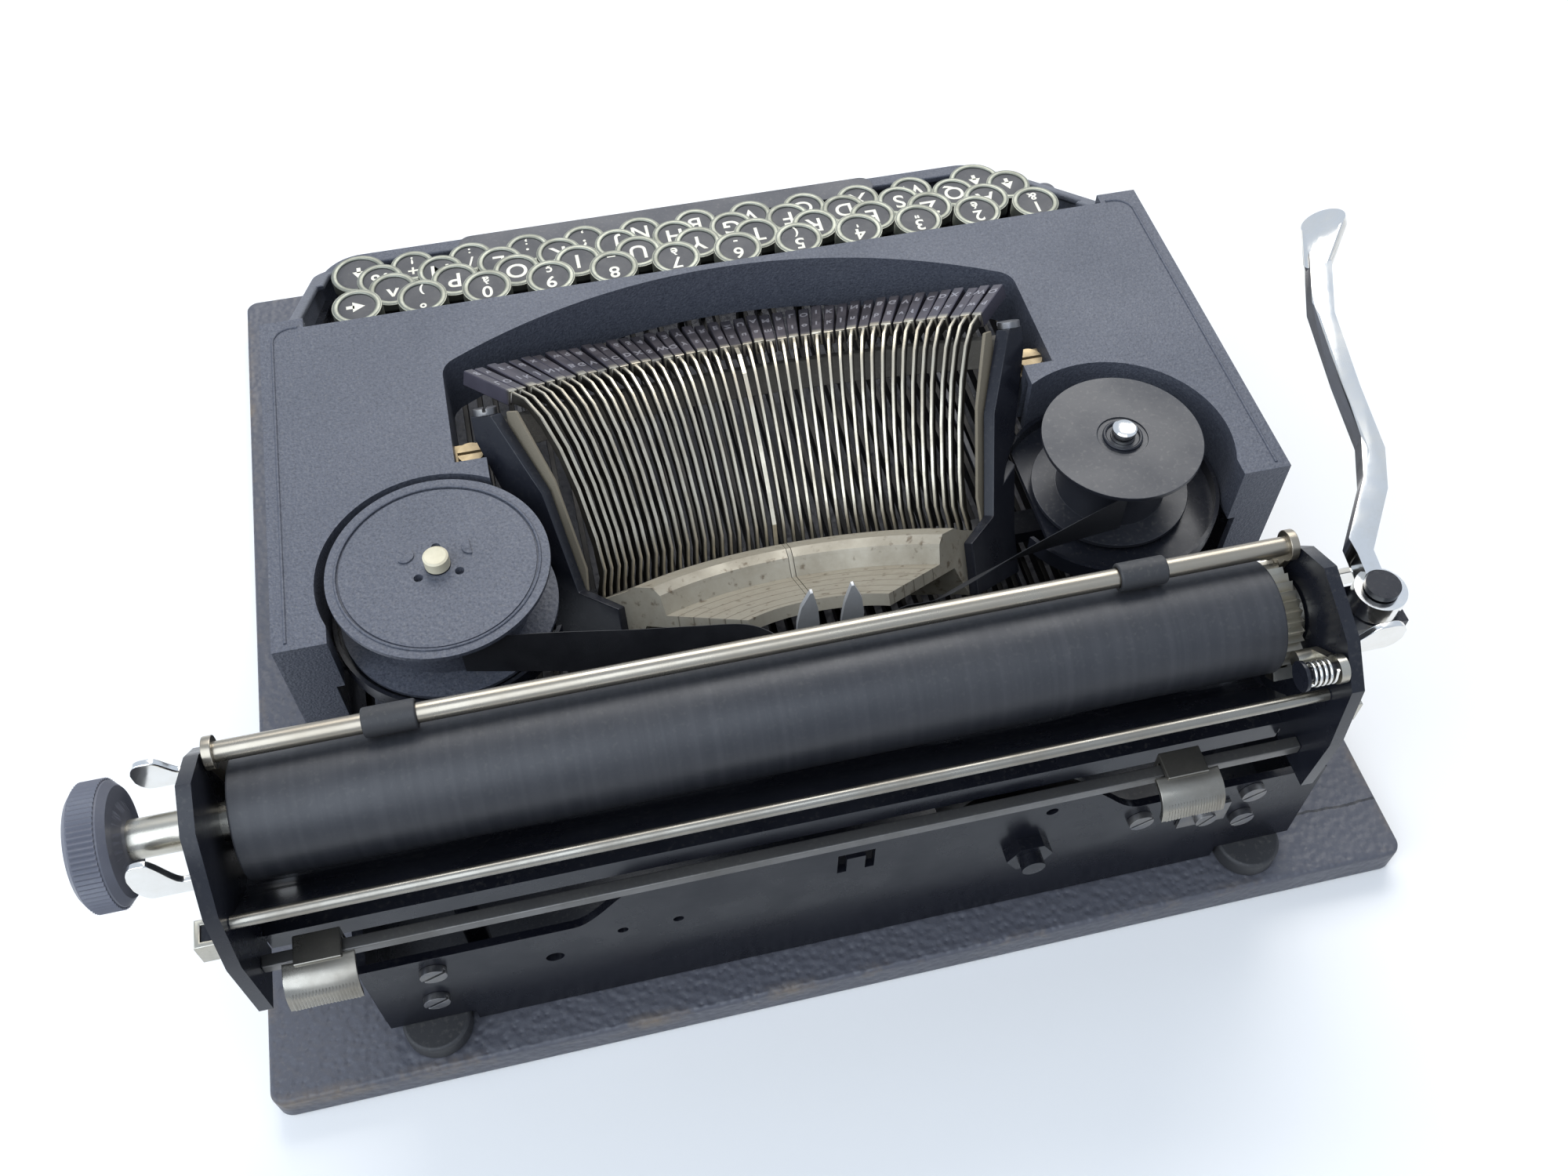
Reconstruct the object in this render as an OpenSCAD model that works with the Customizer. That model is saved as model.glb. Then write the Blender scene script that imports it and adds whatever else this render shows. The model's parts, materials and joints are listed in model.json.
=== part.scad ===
// Portable typewriter with a front-strike type basket and a shifting carriage.
// Frame: +Z up, typist on the -Y side, origin at the middle of the base board's underside.

/* [Base board] */
// Width of the leatherette-covered base board
board_w = 302; // [298:1:310]
// Depth of the base board
board_d = 289; // [287:1:298]
// Thickness of the base board
board_t = 10; // [8:0.5:11]
// Radius of the board's corners
board_r = 4; // [3:0.5:12]

/* [Body] */
// Overall width of the top cover
cover_w = 251; // [249:0.5:253]
// Height of the flat top of the cover
cover_z = 94.5; // [93.5:0.25:96]
// Depth of the skirt that hangs from the edge of the cover's opening
skirt_h = 18; // [12:1:20]
// Sheet thickness of the cover
cover_t = 2; // [1.5:0.25:2.5]
// Overall width of the keyboard surround
surround_w = 245; // [244:0.5:246]
// Radius of the surround's front corners
surround_r = 16; // [12:1:20]

/* [Keyboard] */
// Distance from one key to the next in a row
key_pitch = 19; // [18.8:0.05:19.05]
// Outer diameter of a key's metal ring
key_dia = 14.6; // [13.6:0.1:15]
// Depth of a key's metal cup
key_cup = 5; // [4:0.25:6]
// Diameter of the two shift keys
shift_key_d = 18; // [16:0.25:18.5]
// Height of the front row's key tops
row_z0 = 44; // [43:0.25:45]
// Step up from one row to the next
row_rise = 10.13; // [9.5:0.1:10.5]
// Thickness of a key lever
lever_t = 1.6; // [1.4:0.1:1.8]
// Length of the space bar
space_w = 146; // [145:1:160]

/* [Type basket] */
// Number of type bars on each side of the middle one
bars_side = 21; // [16:1:21]
// Angle between neighbouring type bars
bar_step = 2; // [2:0.02:2.08]
// Thickness of a type bar
bar_t = 1.1; // [0.9:0.05:1.2]
// Width of a type slug
slug_w = 2.9; // [2.4:0.1:3]

/* [Ribbon] */
// Radius of the right ribbon spool
spool_r = 26.6; // [25:0.2:27]
// Radius of the left ribbon spool
small_spool_r = 20.4; // [18:0.2:22]
// Width of the ribbon
ribbon_w = 13; // [12:0.5:13]

/* [Carriage] */
// Diameter of the platen
platen_d = 26.4; // [26:0.1:26.6]
// Length of the platen's rubber
platen_l = 225; // [223:0.5:225.5]
// Diameter of the platen shaft
shaft_d = 8.4; // [7.6:0.2:9]
// Diameter of the platen knob
knob_d = 27.2; // [25:0.2:28]
// Diameter of the paper bail rod
bail_d = 4.2; // [3.6:0.1:4.6]
// Number of teeth on the line-space ratchet
ratchet_n = 32; // [24:1:36]

/* [Fits] */
// Radial clearance of a shaft in its bore
fit = 0.05; // [0.03:0.01:0.08]
// Clearance between parts that slide past each other
slide = 0.4; // [0.3:0.05:0.45]

/* [Hidden] */
$fn = 48;

black = "#1d1e21";
slate = "#34373c";
nickel = "#b9b5a8";
bright = "#d9dadb";
rubber = "#202122";
tan = "#8d8672";

frame_z = 16;
floor_t = 2;
side_in = 118;
side_out = surround_w/2 - 2;
cover_x = cover_w/2;
cover_in = cover_x - cover_t;
cover_y1 = 71.6;
ear_x = 114;
rear_y = 132;
rear_t = 2;

arch_y = 127;
slug_r = 109.3;
arch_r = slug_r + 49.7;
cover_y0 = arch_y - arch_r - cover_t;
ear_y = cover_y0 - 3.5;
plate_y1 = cover_y1 - cover_t - slide;
spool_clear = 27.4;
swing_gap = 0.15;
open_x = 79;
corner_r = 6;
open_y = 23.4;
gap_x = 113;
spool_x = 86;
spool_y = 55.5;
well_r = 29.2;

row_y = [-111, -95, -78.3, -61.5];
row_x = [-82.65, -92.15, -96.9, -106.4];
row_n = [10, 11, 11, 11];
mid_x = 2.85;
fulcrum_y = 64;
fulcrum_z = 30.5;
fulcrum_r = 3;
lever_h = 5;
hub_r = 5;
cup_r = 27.6;
cup_z = 74;
spool_z = 78;

strike_y = 100.4;
strike_z = 99.1;
basket_tilt = 40;
pivot_v = 72.2;
fan = bars_side*bar_step;
seg_a = fan + 3.3;
slot_w = bar_t + 0.4;
arm_a = 2.4;

platen_y = 117;
platen_z = 102;
platen_r = platen_d/2;
shaft_r = shaft_d/2;
platen_x0 = -94.7;
platen_x1 = platen_x0 + platen_l;
end_t = 3;
end_x0 = -105;
end_x1 = 134;
bail_y = 109.5;
bail_z = 117;
bail_r = bail_d/2;
bail_roll_r = 16.77 - platen_r - 0.37;
bail_py = 104;
bail_pz = 92;
ratchet_r = 12.1;
drum_x = -41.8;
drum_z = 42.5;
drum_r = 20;
post_x = 95;
post_r = 3;
rail_y = [110, 126];
rail_z = 68;
stop_x = [122, -73];
stop_y = 138;
stop_z = 76.5;

function row_z(r) = row_z0 + row_rise*r;
function key_x(r, k) = mid_x + (row_x[r] + 19*k - mid_x)*key_pitch/19;
function unit(p) = p/norm(p);
function across(p) = [-p[1], p[0]];
function side_dir(p, i) = unit(across(unit(p[min(i + 1, len(p) - 1)] - p[max(i, 0)]
    + (i == len(p) - 1 ? p[i] - p[i - 1] : [0, 0]))
    + (i > 0 && i < len(p) - 1 ? across(unit(p[i] - p[i - 1])) : [0, 0])));
function strip(p, w) = concat([for (i = [0:len(p) - 1]) p[i] + side_dir(p, i)*w/2],
    [for (i = [len(p) - 1:-1:0]) p[i] - side_dir(p, i)*w/2]);
function ease(t) = t <= 0 ? 0 : t >= 1 ? 1 : t*t*(3 - 2*t);

// Flat rectangle with rounded corners
module round_rect(w, d, r) {
    square([w - 2*r, d], center = true);
    square([w, d - 2*r], center = true);
    for (x = [-1, 1]) {
        for (y = [-1, 1]) {
            translate([x*(w/2 - r), y*(d/2 - r)]) circle(r);
        }
    }
}

// Box from its two opposite corners
module box(a, b) {
    translate(a) cube(b - a);
}

// Round bar along X
module bar_x(x0, x1, y, z, r) {
    translate([x0, y, z]) rotate([0, 90, 0]) cylinder(h = x1 - x0, r = r);
}

// Plate in the YZ plane, from x0 to x1
module plate_x(x0, x1) {
    translate([x0, 0, 0]) rotate([90, 0, 90]) linear_extrude(x1 - x0) children();
}

// Plate in the XZ plane, from y0 to y1
module plate_y(y0, y1) {
    translate([0, y1, 0]) rotate([90, 0, 0]) linear_extrude(y1 - y0) children();
}

// The basket's own axes: local Z is the strike axis, local -Y points down to the segment
module basket() {
    translate([0, strike_y, strike_z]) rotate([basket_tilt, 0, 0]) children();
}

// Part of a ring about the strike axis, from angle a0 to a1, drawn as [radius, height]
module sector(a0, a1) {
    rotate([0, 0, a0 - 90]) rotate_extrude(angle = a1 - a0, $fn = 96) children();
}

// Slotted screw head with its face towards +Z
module screw_head(r, h) {
    difference() {
        cylinder(h = h, r = r);
        translate([-r - 1, -r*0.13, h*0.5]) cube([2*r + 2, r*0.26, h]);
    }
}

module base_board() {
    color(slate) linear_extrude(board_t) round_rect(board_w, board_d, board_r);
}

module rubber_feet() {
    color(rubber) {
        for (x = [-1, 1]) {
            translate([x*108.4, 133.5, board_t]) cylinder(h = frame_z - board_t, r = 8.5);
            translate([x*108, -118, board_t]) cylinder(h = frame_z - board_t, r = 8.5);
        }
    }
}

// Side plate outline as [y, z]
module side_outline() {
    polygon([[-120, frame_z], [rear_y, frame_z], [rear_y, 50], [82, 55], [plate_y1, 56], [plate_y1, 84], [-28, 84],
        [-36, 75], [-42, 74], [-118, 28], [-120, 27]]);
}

module main_frame() {
    color(black) difference() {
        union() {
            for (s = [0, 1]) {
                mirror([s, 0, 0]) {
                    plate_x(side_in, side_out) side_outline();
                    box([side_out, -22, 40], [cover_in, -10, 52]);
                    box([side_out, 50, 40], [cover_in, 62, 52]);
                    translate([post_x, 118, frame_z]) cylinder(h = rail_z + 3.6 - frame_z, r = post_r);
                }
            }
            box([-side_in - 1, -120, frame_z], [side_in + 1, -109, frame_z + 1.6]);
            box([-side_in, -128, frame_z], [side_in, -119, frame_z + 1.6]);
            box([-side_out, 74, frame_z], [side_out, rear_y, frame_z + floor_t]);
            box([-side_in - 1, 30, 35.5], [side_in + 1, 38, 40]);
            basket() sector(-30, 30) polygon([[84, -10], [89, -10], [89, -2], [84, -2]]);
            translate([0, 92, frame_z]) cylinder(h = 72 - frame_z, r = 2);
        }
        for (x = [-60, 0, 60]) {
            translate([x, 84, 0]) cylinder(h = 40, r = 5);
        }
    }
}

// Rear plate outline as [x, z], with a hump in the middle
module rear_outline() {
    polygon(concat([[119.5, 11]], [for (x = [119.5:-1.5:-119.5]) [x, 52 + 15*ease((70 - abs(x))/18)]],
        [[-119.5, 52], [-119.5, 11]]));
}

module rear_plate() {
    color(black) union() {
        difference() {
            plate_y(rear_y, rear_y + rear_t) rear_outline();
            for (s = [-1, 1]) {
                box([s*109.25 - 10.75, rear_y - 1, 10], [s*109.25 + 10.75, rear_y + rear_t + 1, frame_z + 0.3]);
            }
            for (p = [[76, 38, 2.2], [59, 45, 1.3], [45.6, 44.6, 1.3], [-46, 59.5, 1.5]]) {
                translate([p[0], rear_y - 1, p[1]]) rotate([-90, 0, 0]) cylinder(h = rear_t + 2, r = p[2]);
            }
            box([-2.2, rear_y - 1, 51], [6.8, rear_y + rear_t + 1, 60]);
        }
        box([0, rear_y, 49], [4.6, rear_y + rear_t, 57.5]);
        translate([drum_x, 107, drum_z]) rotate([-90, 0, 0]) cylinder(h = rear_y - 106, r = 4);
        translate([drum_x, rear_y, drum_z]) rotate([-90, 0, 0]) cylinder(h = 5, r = 6, $fn = 6);
        translate([drum_x, rear_y, drum_z]) rotate([-90, 0, 0]) cylinder(h = 8, r = 3);
    }
}

// Shape of the cover seen from above
module cover_outline() {
    translate([-cover_x, cover_y0]) square([2*cover_x, cover_y1 - cover_y0]);
    for (s = [0, 1]) {
        mirror([s, 0]) translate([ear_x, ear_y]) square([cover_x - ear_x, 5]);
    }
}

// Opening over the type basket and the spools; g widens it all round
module cover_opening(g) {
    cx = open_x - corner_r;
    cy = arch_y - sqrt(pow(arch_r - corner_r, 2) - cx*cx);
    tx = cx*arch_r/(arch_r - corner_r);
    intersection() {
        translate([0, arch_y]) circle(arch_r + g, $fn = 160);
        translate([-tx, -40]) square([2*tx, 63.4 + g]);
    }
    translate([-open_x - g, cy]) square([2*(open_x + g), 23.4 + g - cy]);
    for (s = [-1, 1]) {
        translate([s*cx, cy]) circle(corner_r + g, $fn = 48);
    }
    translate([-open_x + 8, 20]) square([2*open_x - 16, 60]);
    for (s = [-1, 1]) {
        translate([s*spool_x, spool_y]) circle(well_r + g, $fn = 96);
    }
    translate([-gap_x - g, spool_y + 9]) square([2*(gap_x + g), 30]);
}

module top_cover() {
    color(slate) {
        translate([0, 0, cover_z - cover_t]) linear_extrude(cover_t) difference() {
            cover_outline();
            cover_opening(0);
        }
        translate([0, 0, cover_z - skirt_h]) linear_extrude(skirt_h) difference() {
            intersection() {
                cover_opening(cover_t);
                translate([-gap_x - 3, -40]) square([2*gap_x + 6, cover_y1 + 40]);
            }
            cover_opening(0);
        }
        for (s = [0, 1]) {
            mirror([s, 0, 0]) {
                box([cover_in, ear_y, 22], [cover_x, cover_y1, cover_z - cover_t]);
                box([gap_x + cover_t, cover_y1 - cover_t, 60], [cover_in, cover_y1, cover_z - cover_t]);
                box([ear_x, ear_y, 78], [cover_in, ear_y + 2, cover_z - cover_t]);
                box([ear_x, ear_y, 78], [ear_x + 2, cover_y0 + 2, cover_z - cover_t]);
            }
        }
        box([-ear_x, cover_y0, 78], [ear_x, cover_y0 + 2, cover_z - cover_t]);
    }
}

// Outline of the surround seen from above, inset by g
module surround_outline(g) {
    w = surround_w/2 - g;
    r = max(surround_r - g, 2);
    translate([-w, -136.5 + g + r]) square([2*w, 136.5 + ear_y - g - r]);
    translate([-w + r, -136.5 + g]) square([2*(w - r), r + 1]);
    for (s = [-1, 1]) {
        translate([s*(w - r), -136.5 + g + r]) circle(r);
    }
}

module keyboard_surround() {
    top = 31;
    rise = 0.62*(ear_y + 130);
    relief = surround_w/2 - 3.4;
    color(slate) union() {
        intersection() {
            translate([0, 0, 12]) linear_extrude(90) difference() {
                surround_outline(0);
                surround_outline(2);
                translate([-side_out, -60]) square([2*side_out, 40]);
            }
            plate_x(-150, 150) polygon([[-140, 12], [ear_y, 12], [ear_y, top + rise], [-130, top], [-140, top]]);
        }
        intersection() {
            translate([0, 0, 12]) linear_extrude(90) difference() {
                surround_outline(0);
                surround_outline(5.3);
                translate([-relief, -106]) square([2*relief, 50]);
                translate([-side_out + 3.3, -60]) square([2*side_out - 6.6, 40]);
            }
            plate_x(-150, 150) polygon([[-140, top - 2.5], [-130, top - 2.5], [ear_y, top + rise - 2.5],
                [ear_y, top + rise], [-130, top], [-140, top]]);
        }
    }
}

module type_segment() {
    color(nickel) basket() difference() {
        sector(-seg_a, seg_a) polygon([[24, 1], [24, 4], [49, 4], [50, 9], [52, 11], [58, 11], [60.6, 9.8],
            [74, 6], [79, 2], [79, -1], [84, -1], [84, -8], [62, -8], [56, 1]]);
        for (k = [-bars_side:bars_side]) {
            rotate([0, 0, k*bar_step]) box([-slot_w/2, -80, -3], [slot_w/2, -60.2, 14]);
        }
        box([-bar_t/2 - swing_gap, -80, -14], [bar_t/2 + swing_gap, -15, 14]);
        translate([0, -pivot_v, 0]) rotate([0, 90, 0]) cylinder(h = 2*bar_t + 1.2, r = 0.9 + fit, center = true);
    }
}

// Arm on the end of the segment, as [radius, height]
module arm_outline() {
    polygon([[62, -8], [84, -8], [84, 4], [90, 30], [99, 50], [99, 56], [92, 56], [80, 36], [74, 10], [62, 6]]);
}

module segment_arms() {
    color(black) difference() {
        basket() for (s = [0, 1]) {
            mirror([s, 0, 0]) sector(seg_a, seg_a + arm_a) arm_outline();
        }
        for (s = [-1, 1]) {
            translate([s*spool_x, spool_y, 77]) cylinder(h = 30, r = spool_clear);
        }
    }
}

// Guard strip beside the outermost type bar, as [radius, height]
module guard_outline() {
    polygon([[74.6, 8], [83, 8], [89, 30], [91.4, 46], [91.4, 56], [88, 56], [79, 38], [73.6, 15]]);
}

module type_rest() {
    color(tan) basket() {
        sector(-seg_a, seg_a) polygon([[slug_r - 17.3, 46], [slug_r - 12.3, 46], [slug_r - 10.8, 54],
            [slug_r - 15.3, 53.5]]);
        for (s = [0, 1]) {
            mirror([s, 0, 0]) sector(seg_a - 1.3, seg_a - 0.6) guard_outline();
        }
    }
}

// Path with its inner corners cut, so that it bends softly
function soften(p) = concat([p[0]], [for (i = [1:len(p) - 2]) for (j = [i - 1, i + 1]) p[i]*0.75 + p[j]*0.25],
    [p[len(p) - 1]]);

// Type bar from its foot to its slug, as [-radius, height]
function bar_path(foot) = soften([[-pivot_v, foot], [-pivot_v, 1.5], [-73.8, 6.4], [-70.7, 15], [-76.9, 39.8],
    [23 - slug_r, 56.2], [15.1 - slug_r, 59]]);

module type_bar(t, foot) {
    rotate([90, 0, 90]) linear_extrude(t, center = true) polygon(strip(bar_path(foot), 3));
    rotate([90, 0, 90]) linear_extrude(slug_w, center = true) polygon(strip([[16.1 - slug_r, 58.6], [-slug_r, 64.4]], 4));
}

module type_bars() {
    color(nickel) basket() for (k = [-bars_side:bars_side]) {
        if (k != 0) rotate([0, 0, k*bar_step]) type_bar(bar_t, -3);
    }
}

module type_bar_h() {
    color(nickel) basket() {
        type_bar(bar_t, -1.6);
        translate([0, -pivot_v, 0]) rotate([0, 90, 0]) cylinder(h = 2*bar_t + 1, r = 0.9, center = true);
    }
}

module cover_brackets() {
    color(tan) for (s = [0, 1]) {
        mirror([s, 0, 0]) {
            box([71.5, 13, 87], [open_x, 22.6, 89]);
            box([71.5, 13, 78], [73, 22.6, 87]);
            translate([75, 18, 89]) screw_head(3.4, 2.2);
        }
    }
}

// One spool cup with its pin; top is the height of the pin's end
module spool_cup(top) {
    difference() {
        translate([0, 0, cup_z]) cylinder(h = 5, r = cup_r + 1);
        translate([0, 0, cup_z + 1.5]) cylinder(h = 5, r = cup_r);
        box([-40, -40, cup_z - 1], [-20.3, 12, cup_z + 10]);
    }
    translate([0, 0, cup_z]) cylinder(h = top - cup_z, r = 3);
    translate([0, 0, cup_z]) cylinder(h = spool_z - slide - cup_z, r = 6);
    box([20, -10, cup_z], [side_in - spool_x, 10, cup_z + 1.5]);
}

module spool_cups() {
    color(black) {
        translate([spool_x, spool_y, 0]) spool_cup(98.6);
        translate([-spool_x, spool_y, 0]) mirror([1, 0, 0]) spool_cup(100.6);
    }
}

// Ribbon spool with two flanges; top is the height of the upper face
module spool(r, core, top) {
    difference() {
        union() {
            translate([0, 0, spool_z]) cylinder(h = 1.2, r = r);
            translate([0, 0, spool_z]) cylinder(h = top - spool_z, r = core);
            translate([0, 0, top - 1.2]) cylinder(h = 1.2, r = r);
        }
        translate([0, 0, spool_z - 1]) cylinder(h = 40, r = 3 + fit);
        children();
    }
}

module spool_right() {
    color(slate) translate([spool_x, spool_y, 0]) spool(spool_r, 20, 95.4) {
        for (a = [30, 150, 270]) {
            rotate([0, 0, a]) translate([5.6, 0, 93]) cylinder(h = 4, r = 1.1);
        }
        translate([0, 0, 95]) difference() {
            cylinder(h = 2, r = spool_r - 2.4);
            translate([0, 0, -1]) cylinder(h = 4, r = spool_r - 3.2);
        }
    }
}

module spool_left() {
    color(slate) translate([-spool_x, spool_y, 0]) spool(small_spool_r, 14, 97.8) {
        translate([0, 0, 97.4]) difference() {
            cylinder(h = 2, r = 6.4);
            translate([0, 0, -1]) cylinder(h = 4, r = 5);
        }
    }
}

module ribbon() {
    r = [20.9, 14.9];
    color(rubber) translate([0, 0, 80]) linear_extrude(ribbon_w) polygon(strip([
        [spool_x - 2, spool_y + r[0]], [65, 79.2], [45, 83.2], [30, 86.2], [18, 89.5], [10.5, 96.5], [5, 99.8],
        [0, 100.6], [-5, 99.8], [-10.5, 96.5], [-18, 89.6], [-30, 85.6], [-52, 77.2],
        [-spool_x + 3, spool_y + r[1]]], 0.5));
}

module ribbon_vibrator() {
    color(bright) difference() {
        union() {
            box([-5, 87.5, 54], [5, 95, 62]);
            box([-9, 94, 54], [9, 95.2, 70]);
            for (s = [0, 1]) {
                mirror([s, 0, 0]) plate_y(94, 95.2) polygon([[2.6, 69], [7.8, 69], [7.8, 101], [7, 107], [5, 112.2],
                    [4.4, 112.2], [3.1, 106], [2.6, 100]]);
            }
        }
        translate([0, 92, 50]) cylinder(h = 20, r = 2 + fit);
    }
}

module fulcrum_rod() {
    color(nickel) bar_x(-side_in, side_in, fulcrum_y, fulcrum_z, fulcrum_r);
}

// Lever from the fulcrum rod forward to y, with the rod's bore
module lever(x, y) {
    lz = fulcrum_z - lever_h/2;
    difference() {
        union() {
            box([x - lever_t/2, y - 2.5, lz], [x + lever_t/2, fulcrum_y, lz + lever_h]);
            bar_x(x - lever_t/2, x + lever_t/2, fulcrum_y, fulcrum_z, hub_r);
        }
        bar_x(x - 5, x + 5, fulcrum_y, fulcrum_z, fulcrum_r + fit);
    }
}

// Round key: metal cup with a recessed top, standing on a flat stem
module key_head(x, y, z, d) {
    translate([x, y, z - key_cup]) difference() {
        cylinder(h = key_cup, r = d/2);
        translate([0, 0, key_cup - 0.9]) cylinder(h = 2, r = d/2 - 1.1);
    }
    box([x - lever_t/2, y - 2.5, fulcrum_z], [x + lever_t/2, y + 2.5, z - key_cup]);
}

// Key k of row r, with its lever
module key(r, k) {
    color(nickel) {
        key_head(key_x(r, k), row_y[r], row_z(r), key_dia);
        lever(key_x(r, k), row_y[r]);
    }
}

module key_row(r) {
    for (k = [0:row_n[r] - 1]) {
        key(r, k);
    }
}

module number_keys() {
    key_row(3);
}

module upper_row_keys() {
    key_row(2);
}

module lower_row_keys() {
    key_row(0);
}

module backspace_key() {
    key(3, 11);
}

module shift_lock() {
    key(1, -1);
}

module key_q() {
    key(1, 0);
}

module key_s() {
    key(1, 1);
}

module key_d() {
    key(1, 2);
}

module key_f() {
    key(1, 3);
}

module key_g() {
    key(1, 4);
}

module key_h() {
    key(1, 5);
}

module key_j() {
    key(1, 6);
}

module key_k() {
    key(1, 7);
}

module key_l() {
    key(1, 8);
}

module key_m() {
    key(1, 9);
}

module key_percent() {
    key(1, 10);
}

module shift_keys() {
    lz = fulcrum_z - lever_h/2;
    color(nickel) {
        for (s = [0, 1]) {
            mirror([s, 0, 0]) {
                lever(115.5, row_y[0]);
                key_head(105.8, row_y[0], row_z(0), shift_key_d);
                box([105, row_y[0] - 2.5, lz + 1], [116, row_y[0] + 2.5, lz + lever_h]);
                box([115.5 - lever_t/2, fulcrum_y + hub_r - 1, lz], [115.5 + lever_t/2, 75, lz + 4]);
            }
        }
        box([-115.5, 72, lz], [115.5, 75, lz + 4]);
    }
}

module space_bar() {
    gap = key_pitch/4;
    color(black) {
        for (x = [gap*(0.1 + floor((space_w/2 - 10)/gap)), gap*(0.1 - floor((space_w/2 - 1.5)/gap))]) {
            lever(x, -125);
            box([x - lever_t/2, -127.5, fulcrum_z], [x + lever_t/2, -122.5, 33.5]);
        }
        translate([0, -125, 33]) linear_extrude(4.5) {
            square([space_w - 9, 9], center = true);
            for (s = [-1, 1]) {
                translate([s*(space_w/2 - 4.5), 0]) circle(4.5);
            }
        }
    }
}

module frame_screws() {
    face = rear_y + rear_t;
    color(nickel) {
        for (p = [[103.7, 45.5], [105.8, 29.7], [-71, 45.4], [-100.4, 47.8], [-100.7, 34.5]]) {
            translate([p[0], face, p[1]]) rotate([-90, 30, 0]) screw_head(3.2, 1.8);
        }
        box([-95.5, face, 36], [-82.5, face + 1, 45]);
        translate([-89, face + 1, 40.5]) rotate([-90, 50, 0]) screw_head(2.8, 1.6);
        basket() for (s = [-1, 1]) {
            rotate([0, 0, s*(seg_a + arm_a/2)]) translate([0, -95.5, 56]) rotate([0, 0, 40]) screw_head(3, 1.8);
        }
    }
}

module shift_frame() {
    color(black) difference() {
        union() {
            box([-112, 108, 64], [112, 128, rail_z]);
            for (y = rail_y) {
                box([-112, y - 1, rail_z - 1], [112, y + 1, rail_z + 2.5]);
                box([-112, y - 2.5, rail_z + 2], [112, y + 2.5, rail_z + 3.6]);
            }
        }
        for (s = [-1, 1]) {
            translate([s*post_x, 118, 60]) cylinder(h = 12, r = post_r + fit);
        }
    }
}

module mainspring_drum() {
    color(nickel) translate([drum_x, 108, drum_z]) rotate([-90, 0, 0]) difference() {
        union() {
            cylinder(h = 18, r = drum_r - 1.6);
            cylinder(h = 1.5, r = drum_r);
            translate([0, 0, 16.5]) cylinder(h = 1.5, r = drum_r);
        }
        translate([0, 0, -1]) cylinder(h = 20, r = 4 + fit);
    }
}

module carriage_frame() {
    x0 = end_x0 + end_t;
    low = rail_z + slide;
    hook = rail_z + 2 - slide;
    top = rail_z + 3.6 + slide;
    claw = [rail_y[0] - 2.5 - slide, rail_y[1] + 2.5 + slide];
    color(black) {
        box([x0, claw[0] - 2.1, top], [end_x1, claw[1] + 2.1, 75]);
        box([x0, claw[0] - 2.1, low], [end_x1, claw[0], top + 0.5]);
        box([x0, claw[0] - 2.1, low], [end_x1, rail_y[0] - 1 - slide, hook]);
        box([x0, claw[1], low], [end_x1, claw[1] + 2.1, top + 0.5]);
        box([x0, rail_y[1] + 1 + slide, low], [end_x1, claw[1] + 2.1, hook]);
    }
}

// Pin along X standing on an end plate
module end_pin(x0, x1, p, r) {
    bar_x(x0, x1, p[0], p[1], r);
}

bail_pin = [bail_py, bail_pz];
detent_pin = [139, 111];
release_pin = [107, 96];
paper_pin = [129, 92];
left_pin = [128, 92];
selector_pin = [108, 92];
feed_axis = [112, 84.3];
spring_x = -92.4;
lever_x = -122;
lever_y = 119;
lever_z = 101;

module carriage_ends() {
    color(black) difference() {
        union() {
            plate_x(end_x1, end_x1 + end_t) polygon([[100.5, 72.2], [100.5, 97], [105, 113], [110.7, 119],
                [119.9, 123.8], [129.5, 120.9], [140.7, 107.1], [145, 92], [145, 69], [131.4, 69], [131.4, 72.2]]);
            plate_x(end_x0, end_x0 + end_t) polygon([[100.5, 72.2], [100.5, 97], [105, 110], [112, 118.5],
                [120.7, 122.6], [129, 119.5], [136.2, 116.5], [144.1, 108.5], [146.2, 89.6], [145, 69],
                [131.4, 69], [131.4, 72.2]]);
            end_pin(end_x1 - 2.8, end_x1 + 1, bail_pin, 2);
            end_pin(end_x0 + 1, end_x0 + end_t + 2.8, bail_pin, 2);
            end_pin(end_x1 + 1, end_x1 + end_t + 3.4, release_pin, 1.8);
            end_pin(end_x1 + 1, end_x1 + end_t + 3.4, paper_pin, 1.8);
            end_pin(end_x0 - 3.4, end_x0 + 1, left_pin, 1.8);
            end_pin(end_x0 - 3.4, end_x0 + 1, selector_pin, 1.8);
            end_pin(end_x0 + 1, spring_x + 0.8, detent_pin, 1.6);
            end_pin(spring_x, spring_x + 0.8, detent_pin, 3.4);
            box([lever_x - 6, lever_y - 6, lever_z - 4], [end_x0 + 1, lever_y + 6, lever_z - slide]);
            translate([lever_x, lever_y, lever_z - 3]) cylinder(h = 10.4, r = 2.5);
            translate([lever_x, lever_y, lever_z + 5.9]) cylinder(h = 1.5, r = 4);
            box([end_x1 + 1, 136, 91], [end_x1 + end_t + 4.5, 141, 97]);
            box([end_x0 - 4.8, 136, 91], [end_x0 + 1, 141, 97]);
        }
        bar_x(-150, 180, platen_y, platen_z, shaft_r + fit);
        bar_x(-150, 180, feed_axis[0], feed_axis[1], 1.8 + fit);
    }
}

module paper_table() {
    axis = [platen_y, platen_z];
    r = platen_r + 3.8;
    color(black) {
        plate_x(-94, end_x1) polygon(strip(concat([for (a = [-75:5:-45]) axis + r*[cos(a), sin(a)]],
            [axis + r*[cos(-45), sin(-45)] + 13*[cos(45), sin(45)]]), 1.2));
        box([-94, 121.3, 75], [end_x1, 123.3, 86]);
        bar_x(end_x0 + end_t, end_x1, 138.6, 99.6, 1.3);
    }
}

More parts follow.
